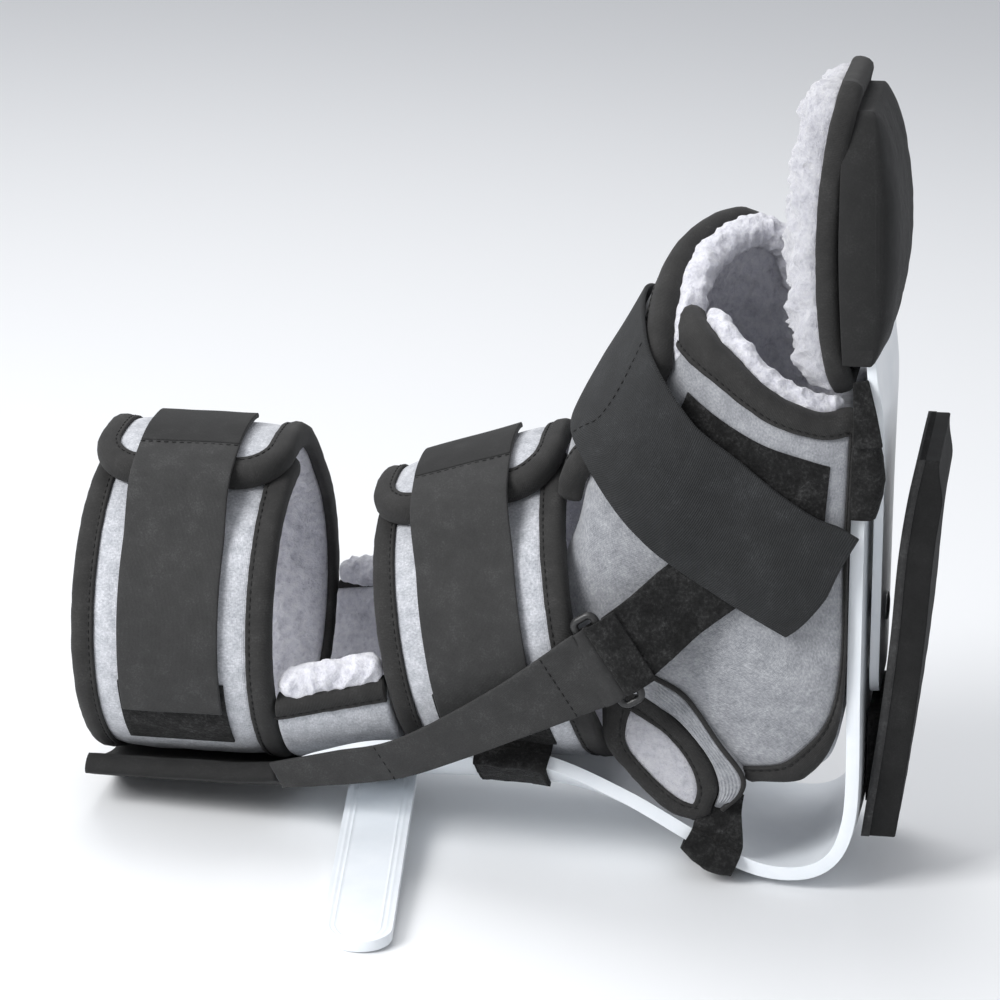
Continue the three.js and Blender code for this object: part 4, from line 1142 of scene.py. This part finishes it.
def toe_sleeve():
    s, t = lattice(90, 70, v=(-1, 1))
    u = mix(TOE_SLEEVE["start"], 1, s)
    side = t * toe_reach(mix(TOE_SLEEVE["start"], 0.985, s))
    swell = bulge(t, 6) * bulge(2 * s - 1, 12)
    full = mix(TOE_SLEEVE_FLAT["ends"], 1, np.maximum(np.sin(math.pi * s), 0) ** 0.6)
    full = full * mix(TOE_SLEEVE_FLAT["edges"], 1, swell)
    behind = TOE_SLEEVE["cloth"] + (TOE_PLASTIC + TOE_SLEEVE["back"]) * full
    back = toe_point(u, side, behind, TOE_SLEEVE["side"])
    front = toe_point(u, side, -TOE_SLEEVE["front"], TOE_SLEEVE["side"])
    for face in (back, front):
        face[..., 2] += TOE_SLEEVE["top"] * s**8
    broad, fine = bumps(back, height=0.7, size=16, seed=3.3), bumps(back, height=0.25, size=5, seed=9.3)
    back[..., 0] += (broad + fine) * swell
    piece = closed_body("toe_sleeve_cloth", back, front, [sleeve_cloth])
    stands_for(beveled(piece, 1.4, 3), "strap_webbing", "toe_pad_sleeve")


toe_sleeve()


# Straps wrapped round the splint's near edge

WRAP_GAP = 0.7
STAND_SIDE = 0.955  # side of the splint over which a standing end rises
HOOK_PILE = {"height": 0.4, "size": 3, "seed": 1.9}
SAG_OUT = 0.3  # share of a loose strap's slack that goes outwards, past the edge


def edge_wrap(name, start, end, reach, stand=0.0, taper=1.0, loose=0.0, lean=0.0):
    """Strap round the splint's near edge. It may stand up inside, narrower there, or hang loose."""
    radius = PLASTIC_MIDDLE + WRAP_GAP
    steps = np.linspace(0, 1, 14)
    first_side = STAND_SIDE if stand else reach
    inner = [(-mix(first_side, 1, s), -WRAP_GAP - stand * (1 - s), 0) for s in steps]
    turn = [(-1, depth, past) for depth, past in half_turn(12, radius)[1:-1]]
    outer = [(-mix(1, reach, s), PLASTIC + WRAP_GAP, 0) for s in steps]
    side, out, beyond = np.array(inner + turn + outer).T
    rising = np.clip((-WRAP_GAP - out) / max(stand, 1), 0, 1)
    stands = out < -WRAP_GAP

    def grid(extra):
        grow = (radius + extra) / radius
        s, v = np.meshgrid(side, np.linspace(0, 1, 18), indexing="ij")
        narrow = mix(1, taper, smoothstep(rising, 0, 0.8))[:, None]
        u = mix(start, end, 0.5 + (v - 0.5) * narrow) - lean * rising[:, None]
        depth = np.where(out < 0, out - extra * stands, mix(PLASTIC_MIDDLE, out, grow))
        sag = np.sin(math.pi * mix(0.1, 0.9, v))
        slack = loose * smoothstep(out, 0, PLASTIC)[:, None] * sag
        made = splint_point(u, s, depth[:, None] + slack)
        made[..., 1] -= (beyond * grow + extra * stands)[:, None] + SAG_OUT * slack
        return made

    inside, outside = grid(0), grid(STRAP)
    outside = outside + unit(outside - inside) * bumps(outside, **HOOK_PILE)[..., None]
    piece = closed_body(f"{name}_pile", outside, inside, [loops])
    stands_for(beveled(piece, 0.5), "strap_webbing", name)


edge_wrap("mid_hook_strap", 0.36, 0.428, 0.7, stand=11, taper=0.96)
edge_wrap("heel_hook_strap", 0.546, 0.597, 0.5, stand=19, taper=0.62, loose=3.0, lean=0.018)
edge_wrap("toe_hook_strap", 0.957, 0.994, 0.955, loose=4.5)


def toe_strap_tail():
    """Rest of the toe strap, up to the tape of the toe pad."""
    left = through([(138, -47.5, 66), (138.5, -49.5, 54), (139, -49.8, 42)])
    right = through([(143.4, -46.5, 67), (146.9, -48.5, 54.7), (149.5, -49.5, 43)])
    u, v = lattice(16, 30)
    inner = mix(left(v), right(v), u[..., None])
    outer = inner - [0, STRAP, 0]
    outer[..., 1] += bumps(outer, height=0.4, size=4, seed=3.7)
    piece = closed_body("toe_hook_strap_tail", outer, inner, [loops])
    stands_for(beveled(piece, 0.5), "loop_pile")


toe_strap_tail()


# Heel tab and the edging behind it

HEEL_INSIDE = (70, 0, -80)
TAB_LEFT = [(47, -46, -57), (48, -47.5, -78), (58, -47, -92), (71, -46, -105), (81, -44.5, -110)]
TAB_RIGHT = [
    (61.5, -46.5, -57), (78, -48.8, -70), (88, -48.6, -83), (91.6, -46.5, -95), (89.5, -44.5, -106),
]
TAB_END = 0.85  # width that is left at the tab's lower end
EDGING_LEFT = [
    (61.5, -46.5, -56), (78, -48.4, -70), (88, -47.8, -83), (91.6, -46, -95), (89.5, -44, -104),
]
EDGING_RIGHT = [
    (66.3, -49.8, -50.5), (79, -49.8, -58), (92, -49.8, -76), (100.5, -48.6, -88), (100, -46.5, -96),
    (93, -44.5, -104),
]
EDGING = {"sunk": 1.4, "back": 4.5, "swell": 2.4, "rib": 0.22, "ribs": 7, "cord": 1.0, "cord_sunk": 0.2}


def ruled(left, right):
    """Surface between two lines of points, with an offset square to it."""
    return thickened(lambda u, v: mix(left(v), right(v), u[..., None]), HEEL_INSIDE)


def leaf(surface, end):
    """Same surface, drawn in towards its middle line at its lower end."""
    def drawn(u, v, offset):
        near_end = smoothstep(v, 0.7, 1)
        return surface(0.5 + (u - 0.5) * mix(1, end, near_end**1.5), v, offset)
    return drawn


def heel_edging():
    """Roll of ribbed knit behind the tab, with a dark cord along its far seam that stands for a thin
    binding there and for the painted shadow of the gap beside it.
    """
    surface = ruled(through(EDGING_LEFT), through(EDGING_RIGHT))
    u, v = lattice(34, 90)
    roll = bulge(2 * u - 1, 4) * smoothstep(np.minimum(v, 1 - v), 0, 0.12)
    ribs = EDGING["rib"] * np.cos(u * 2 * math.pi * EDGING["ribs"]) * roll
    front = surface(u, v, EDGING["swell"] * roll - EDGING["sunk"] + ribs)
    back = surface(u, v, 0 * u - EDGING["back"])
    piece = closed_body("heel_edging_knit", front, back, [shaded_jersey])
    stands_for(piece, "grey_jersey", "heel_edging")
    v = np.linspace(0, 1, 60)
    path = surface(1 + 0 * v, v, 0 * v - EDGING["cord_sunk"])
    # Partly painted shadow: the dark cord draws the thin binding and the shadow gap along the far seam.
    tube("heel_edging_cord", path, EDGING["cord"], tape, "binding_tape")


bound_panel("heel_tab", leaf(ruled(through(TAB_LEFT), through(TAB_RIGHT)), TAB_END), (26, 60),
            {"binding": ["bottom", "right", "top", "left"]}, strip=7.5, thickness=5, depth=1.0,
            slot="fleece", covers=[shaded_fleece, shaded_fleece])
heel_edging()


# Ankle strap, its ring, and the hook strap that passes through the ring

def strap_between(name, node, upper, lower, rows, material, slot, lump):
    """Strap between two lines of points. lump: size of its unevenness."""
    surface = ruled(through(lower), through(upper))
    u, v = lattice(20, rows)
    flat = surface(u, v, 0 * u)
    ripple = bumps(flat, height=0.35, size=lump, seed=6.1)
    piece = closed_body(name, surface(u, v, STRAP + ripple), flat, [material])
    stands_for(beveled(piece, 0.5), slot, node)
    return surface


ankle_surface = strap_between(
    "ankle_strap_webbing", "ankle_strap",
    [(-80, -52.6, -93), (-54, -57, -85), (-28, -63, -76), (8, -68, -53), (39.2, -68.5, -28.9)],
    [(-75, -52.2, -103), (-46, -55, -98), (-20, -61, -90), (20, -67, -71), (55.2, -67, -54.9)],
    120, webbing, "strap_webbing", 15)
strap_between(
    "ankle_hook_strap_pile", "ankle_hook_strap",
    [(49, -66.4, -23), (59, -62, -15.5), (69, -55.5, -7), (80, -53.6, 2)],
    [(65, -65.8, -48.1), (75, -61, -39), (85, -55.5, -30), (99, -53.6, -19)],
    70, loops, "loop_pile", 1.7)
for seam in (0.42, 0.9):
    u = np.linspace(0.05, 0.95, 30)
    stitch(ankle_surface(u, seam + 0 * u, STRAP + THREAD_PROUD["strap"] + 0 * u))

RING = {
    "wire": 1.5, "half_length": 18.5, "half_width": 4.2, "corner": 2.6, "x": 52, "y": -66.2, "z": -39,
    "lean": math.radians(57),
}
STRAP_FOLD = [  # columns: place across the ring, level
    (-9.5, -67.5), (-6.5, -67.9), (-4.3, -68.2), (-2.4, -67.6), (-1.9, -66.3), (-2.6, -65), (-6, -64.6),
]
HOOK_FOLD = [
    (12, -66.6), (8.5, -67.6), (5.5, -68.6), (3, -68.7), (0.8, -68), (0.2, -66.6), (1, -65.2),
    (4, -64.4),
]
FOLD = {"half_width": 15, "thickness": 0.9 * STRAP}


def in_ring(length, across, level):
    """Point by its place along the ring's long side, across it, and the level square to it."""
    along_x, along_z = -math.cos(RING["lean"]), math.sin(RING["lean"])
    return point(RING["x"] + length * along_x + across * along_z, level,
                 RING["z"] + length * along_z - across * along_x)


def ring():
    corner = RING["corner"]
    long, short = RING["half_length"] - corner, RING["half_width"] - corner
    outline = []
    for turn, (a, b) in enumerate([(1, 1), (-1, 1), (-1, -1), (1, -1)]):
        for angle in np.linspace(0, math.pi / 2, 9) + turn * math.pi / 2:
            outline.append((a * long + corner * math.cos(angle), b * short + corner * math.sin(angle)))
    length, across = np.array(outline).T
    piece = tube("strap_ring_wire", in_ring(length, across, RING["y"]), RING["wire"], black_plastic,
                 "black_plastic", loop=True)
    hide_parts("strap_ring")


def fold(name, path, material, slot):
    """Strap's end round a bar of the ring."""
    line = through(path)(np.linspace(0, 1, 48))
    ahead = unit(np.gradient(line, axis=0))
    square = np.stack([ahead[:, 1], -ahead[:, 0]], axis=-1)
    if square[0, 1] > 0:
        square = -square
    length = np.linspace(-FOLD["half_width"], FOLD["half_width"], 24)
    outer, inner = (in_ring(length, row[:, :1], row[:, 1:])
                    for row in (line + square * FOLD["thickness"], line))
    outer[..., 1] += bumps(outer, height=0.35, size=2.2, seed=7.1)
    piece = closed_body(name, outer, inner, [material])
    stands_for(beveled(piece, 0.5), slot)


ring()
fold("ankle_strap_fold", STRAP_FOLD, webbing, "strap_webbing")
fold("ankle_hook_strap_fold", HOOK_FOLD, loops, "loop_pile")


# Foot strap and the pile that it fastens to

FOOT_STRAP_LINE = [  # columns: turn round the foot, share of the foot
    (0.35, 0.56), (0.7, 0.5), (1, 0.45), (1.35, 0.51), (1.6, 0.56), (1.95, 0.605),
]
LOOP_PATCH_LINE = [(1.3, 0.61), (1.95, 0.79)]
LAST_HELD_TURN = 1.86  # past it the strap leaves the foot and runs straight on
TURN_STEP = 0.02
WIDTH_SHARE = 0.1  # share of the foot over which a millimetre is measured, to each side
WIDTH_STEPS = 12
END_FLARE = 0.4  # how far the foot strap's corner towards the toes stands out, in half widths


def band_on_foot(name, node, line, ends, width, slant, offset, thickness, material, slot, rows):
    """Band over the foot along a line. Its place takes shares of its length and half width."""
    def place(s, t, out):
        turn = mix(*ends, s) + slant * t * s**5
        middle = along(line, turn)[..., 0]
        held = np.minimum(turn, LAST_HELD_TURN)
        length = 0
        for k in range(WIDTH_STEPS):
            a, b = (foot_base(middle + mix(-WIDTH_SHARE, WIDTH_SHARE, (k + j) / WIDTH_STEPS), held)
                    for j in (0, 1))
            length = length + np.linalg.norm(b - a, axis=-1)
        stretch = 1 + END_FLARE * s**5 * (t > 0) * (slant > 0)
        share = middle + t * stretch * width * WIDTH_SHARE / length
        here = foot_point(share, held, offset(held) + out)
        ahead = here - foot_point(share, held - TURN_STEP, offset(held) + out)
        return here + ahead * ((turn - held) / TURN_STEP)[..., None]

    s, t = lattice(rows, 40, v=(-1, 1))
    flat = place(s, t, 0 * s)
    ripple = bumps(flat, height=0.3, size=18, seed=2.7)
    piece = closed_body(name, place(s, t, thickness + ripple), flat, [material])
    stands_for(beveled(piece, 0.5), slot, node)
    return place


STRAP_RISES = (0.66, 0.94)  # turns over which the foot strap climbs the flap
STRAP_FALLS = (1.3, 1.56)  # and comes down past it, over the loop patch
PATCH_ROOM = 1.2


def strap_offset(turn):
    down = smoothstep(turn, *STRAP_FALLS)
    lift = FLAP_LIFT * smoothstep(turn, *STRAP_RISES) * (1 - down)
    return lift + PROUD + 3 * GAP + (STRAP + PATCH_ROOM) * down


strap_place = band_on_foot("foot_strap_webbing", "foot_strap", FOOT_STRAP_LINE, (0.35, 1.915),
                           FOOT_STRAP_WIDTH, 0.13, strap_offset, STRAP, ribbed, "strap_webbing", 150)
t = np.linspace(-0.93, 0.93, 36)
stitch(strap_place(0.52 + 0 * t, t, STRAP + THREAD_PROUD["strap"] + 0 * t))
band_on_foot("foot_loop_pile", "foot_loop_patch", LOOP_PATCH_LINE, (1.3, 1.9), 30, 0,
             lambda turn: GAP + 0 * turn, LOOP_PILE, loops, "loop_pile", 90)


# Thread: one tree that lays a stitch at every pitch along the collected lines

def stitch_tree():
    tree = bpy.data.node_groups.new("Row of stitches", "GeometryNodeTree")
    sockets = [  # columns: name, direction, kind
        ("Geometry", "INPUT", "Geometry"), ("Pitch", "INPUT", "Float"),
        ("Stitch length", "INPUT", "Float"), ("Thread radius", "INPUT", "Float"),
        ("Thread", "INPUT", "Material"), ("Geometry", "OUTPUT", "Geometry"),
    ]
    for name, direction, kind in sockets:
        tree.interface.new_socket(name, in_out=direction, socket_type=f"NodeSocket{kind}")
    given = add_node(tree, "NodeGroupInput").outputs
    lines = add_node(tree, "GeometryNodeMeshToCurve", [("Mesh", given["Geometry"])])
    spaced = add_node(tree, "GeometryNodeResampleCurve",
                      [("Curve", lines.outputs["Curve"]), ("Length", given["Pitch"])], mode="LENGTH")
    tangent = add_node(tree, "GeometryNodeInputTangent")
    turn = add_node(tree, "FunctionNodeAlignRotationToVector", [("Vector", tangent.outputs["Tangent"])],
                    axis="Z")
    bead = add_node(tree, "GeometryNodeMeshUVSphere", Segments=6, Rings=5, Radius=1.0)
    half_length = add_math(tree, "MULTIPLY", given["Stitch length"], 0.5)
    size = add_node(tree, "ShaderNodeCombineXYZ",
                    [("X", given["Thread radius"]), ("Y", given["Thread radius"]), ("Z", half_length)])
    laid = add_node(tree, "GeometryNodeInstanceOnPoints",
                    [("Points", spaced.outputs["Curve"]), ("Instance", bead.outputs["Mesh"]),
                     ("Rotation", turn.outputs["Rotation"]), ("Scale", size.outputs["Vector"])])
    real = add_node(tree, "GeometryNodeRealizeInstances", [("Geometry", laid.outputs["Instances"])])
    smooth = add_node(tree, "GeometryNodeSetShadeSmooth", [("Geometry", real.outputs["Geometry"])])
    colored = add_node(tree, "GeometryNodeSetMaterial",
                       [("Geometry", smooth.outputs["Geometry"]), ("Material", given["Thread"])])
    add_node(tree, "NodeGroupOutput", [("Geometry", colored.outputs["Geometry"])])
    return tree


def sew():
    points, edges = [], []
    for line in stitch_lines:
        first = len(points)
        points.extend(in_packed_frame(line))
        edges.extend((first + i, first + i + 1) for i in range(len(line) - 1))
    mesh = bpy.data.meshes.new("stitch_lines")
    mesh.from_pydata(points, edges, [])
    piece = bpy.data.objects.new("stitches", mesh)
    bpy.context.scene.collection.objects.link(piece)
    modifier = piece.modifiers.new("Row of stitches", "NODES")
    modifier.node_group = stitch_tree()
    settings = {
        "Pitch": STITCH["pitch"] * MM, "Stitch length": STITCH["length"] * MM,
        "Thread radius": STITCH["radius"] * MM, "Thread": thread,
    }
    for socket in modifier.node_group.interface.items_tree:
        if socket.name in settings:
            modifier[socket.identifier] = settings[socket.name]
    ready = piece.evaluated_get(bpy.context.evaluated_depsgraph_get())
    made = bpy.data.meshes.new_from_object(ready)
    piece.modifiers.clear()
    piece.data = made
    stands_for(piece, "binding_tape")


sew()


# Floor, light and camera

FLOOR_SIZE = 6
LAMPS = [  # columns: place, size, strength in watts
    ((-0.75, -0.8, 0.85), 0.6, 17),
    ((1.1, -0.9, 0.8), 0.8, 1.0),
    ((-0.3, 0.7, 1.5), 1.0, 11),
]
LIT_HEIGHT = 0.14  # height of the place over the origin that the lamps point at
CAMERA = {
    "azimuth": math.radians(10), "elevation": math.radians(17), "distance": 1400, "mm_per_pixel": 0.385,
    "pixels": 1000, "sensor": 36, "reach": 20,
}


def studio():
    bpy.ops.mesh.primitive_plane_add(size=FLOOR_SIZE, location=(0, 0, 0))
    floor = bpy.context.object
    floor.name = "floor"
    material = new_material("Pale floor", 0.6, Base_Color=(0.86, 0.87, 0.88, 1))[0]
    floor.data.materials.append(material)
    world = bpy.data.worlds.new("Pale room")
    world.use_nodes = True
    background = world.node_tree.nodes["Background"]
    background.inputs["Color"].default_value = (0.93, 0.95, 1.0, 1)
    background.inputs["Strength"].default_value = 0.52
    bpy.context.scene.world = world
    bpy.context.scene.view_settings.view_transform = "Standard"
    for place, size, strength in LAMPS:
        data = bpy.data.lights.new("soft_light", "AREA")
        data.size = size
        data.energy = strength
        lamp = bpy.data.objects.new("soft_light", data)
        lamp.location = place
        ahead = Vector((0, 0, LIT_HEIGHT)) - Vector(place)
        lamp.rotation_euler = ahead.to_track_quat("-Z", "Y").to_euler()
        bpy.context.scene.collection.objects.link(lamp)


def camera():
    a, e = CAMERA["azimuth"], CAMERA["elevation"]
    right = Vector((math.cos(a), math.sin(a), 0))
    ahead = Vector((-math.sin(a) * math.cos(e), math.cos(a) * math.cos(e), -math.sin(e)))
    up = right.cross(ahead)
    turn = Matrix((right, up, -ahead)).transposed().to_4x4()
    placed = PLACE @ Matrix.Translation(-ahead * CAMERA["distance"]) @ turn
    placed.translation *= MM
    data = bpy.data.cameras.new("camera")
    data.sensor_width = CAMERA["sensor"]
    data.lens = CAMERA["sensor"] * CAMERA["distance"] / CAMERA["mm_per_pixel"] / CAMERA["pixels"]
    data.clip_end = CAMERA["reach"]
    view = bpy.data.objects.new("camera", data)
    view.matrix_world = placed
    bpy.context.scene.collection.objects.link(view)
    bpy.context.scene.camera = view


studio()
camera()
